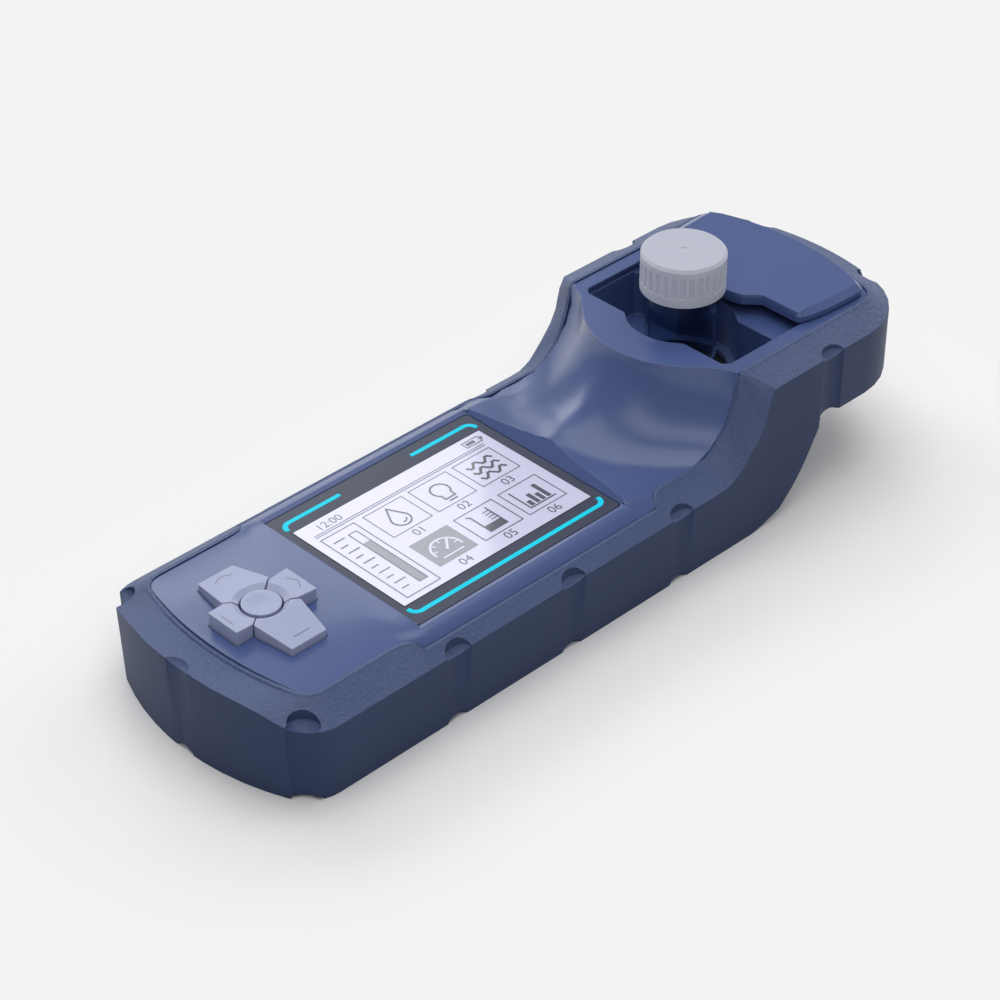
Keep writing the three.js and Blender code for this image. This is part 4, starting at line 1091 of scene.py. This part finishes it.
def far_out(tree):
    """0 under the object and close to it, rising smoothly to 1 away from it."""
    place = add(tree, "ShaderNodeTexCoord")
    size = add(tree, "ShaderNodeVectorMath", operation="ABSOLUTE")
    past = add(tree, "ShaderNodeVectorMath", operation="SUBTRACT")
    past.inputs[1].default_value = (WIDTH / 2, LENGTH / 2, 0.0)
    outside = add(tree, "ShaderNodeVectorMath", operation="MAXIMUM")
    away = add(tree, "ShaderNodeVectorMath", operation="LENGTH")
    fade = add(
        tree, "ShaderNodeMapRange", interpolation_type="SMOOTHSTEP", From_Min=FADE_STARTS,
        From_Max=FADE_FULL,
    )
    tree.links.new(place.outputs["Object"], size.inputs[0])
    tree.links.new(size.outputs["Vector"], past.inputs[0])
    tree.links.new(past.outputs["Vector"], outside.inputs[0])
    tree.links.new(outside.outputs["Vector"], away.inputs[0])
    tree.links.new(away.outputs["Value"], fade.inputs["Value"])
    return fade.outputs["Result"]


# %% [markdown]
# The floor's finish
#
# One large grid is enough for the floor. The two masks are multiplied, and their product mixes the plain
# surface with the even tone.

# %% Build the floor
FLOOR_GREY = (0.86, 0.86, 0.86, 1.0)
FLOOR_SEEN = (0.96, 0.96, 0.96, 1.0)
FLOOR_HALF = 6.0


def floor_finish():
    material, tree, shader = start_material("floor", FLOOR_GREY, 0.9)
    shader.inputs["Specular IOR Level"].default_value = 0.0
    seen = seen_rays(tree)
    shade = colour_mixer(tree)
    shade.inputs[FIRST].default_value = FLOOR_GREY
    shade.inputs[SECOND].default_value = FLOOR_SEEN
    share = add(tree, "ShaderNodeMath", operation="MULTIPLY")
    even = add(tree, "ShaderNodeEmission", Color=linear(243, 243, 243))
    joined = add(tree, "ShaderNodeMixShader")
    tree.links.new(seen, shade.inputs[FACTOR])
    tree.links.new(shade.outputs[MIXED], shader.inputs["Base Color"])
    tree.links.new(far_out(tree), share.inputs[0])
    tree.links.new(seen, share.inputs[1])
    tree.links.new(share.outputs[0], joined.inputs[0])
    tree.links.new(shader.outputs["BSDF"], joined.inputs[1])
    tree.links.new(even.outputs["Emission"], joined.inputs[2])
    tree.links.new(joined.outputs["Shader"], tree.nodes["Material Output"].inputs["Surface"])
    return material


form = bmesh.new()
bmesh.ops.create_grid(form, x_segments=1, y_segments=1, size=FLOOR_HALF)
floor = linked("floor", mesh_from(form, "floor"))
floor.data.materials.append(floor_finish())
print("floor", [round(v, 1) for v in floor.dimensions[:2]], "metres")


# %% [markdown]
# Lights and world
#
# A broad light from above gives the soft shade. Smaller ones stand to the sides and behind, where glossy
# faces mirror them to the camera, because a glossy moulding shows its form by such highlights. A dim even
# world fills the shadows.

# %% Set the lights
# Name, place, height of the point it aims at, size and power of each light.
LIGHTS = [
    ("overhead", (-0.1, 0.1, 2.0), 0.02, (1.8, 1.8), 18.0),
    ("sheen", (-1.033, 0.549, 0.85), 0.02, (0.62, 0.5), 2.6),
    ("left", (-1.2, -0.1, 0.8), 0.02, (0.6, 0.5), 4.0),
    ("front card", (0.64, -0.57, 0.98), 0.03, (0.9, 0.38), 2.1),
    ("low card", (-1.1, 0.77, 0.16), 0.03, (0.5, 0.2), 0.5),
    ("back", (-0.05, 1.35, 0.62), 0.02, (1.2, 0.4), 4.3),
]
WORLD_STRENGTH = 0.27


def soft_light(name, place, aim_height, size, power):
    data = bpy.data.lights.new(name, "AREA")
    data.shape = "RECTANGLE"
    data.size, data.size_y = size
    data.energy = power
    light = linked(name, data)
    light.location = place
    ahead = Vector((0, 0, aim_height)) - Vector(place)
    light.rotation_euler = ahead.to_track_quat("-Z", "Y").to_euler()


for row in LIGHTS:
    soft_light(*row)
world = bpy.data.worlds.new("studio")
scene.world = world
world.use_nodes = True
background = world.node_tree.nodes["Background"]
background.inputs["Color"].default_value = (1.0, 1.0, 1.0, 1.0)
background.inputs["Strength"].default_value = WORLD_STRENGTH
print("lights", len(LIGHTS))
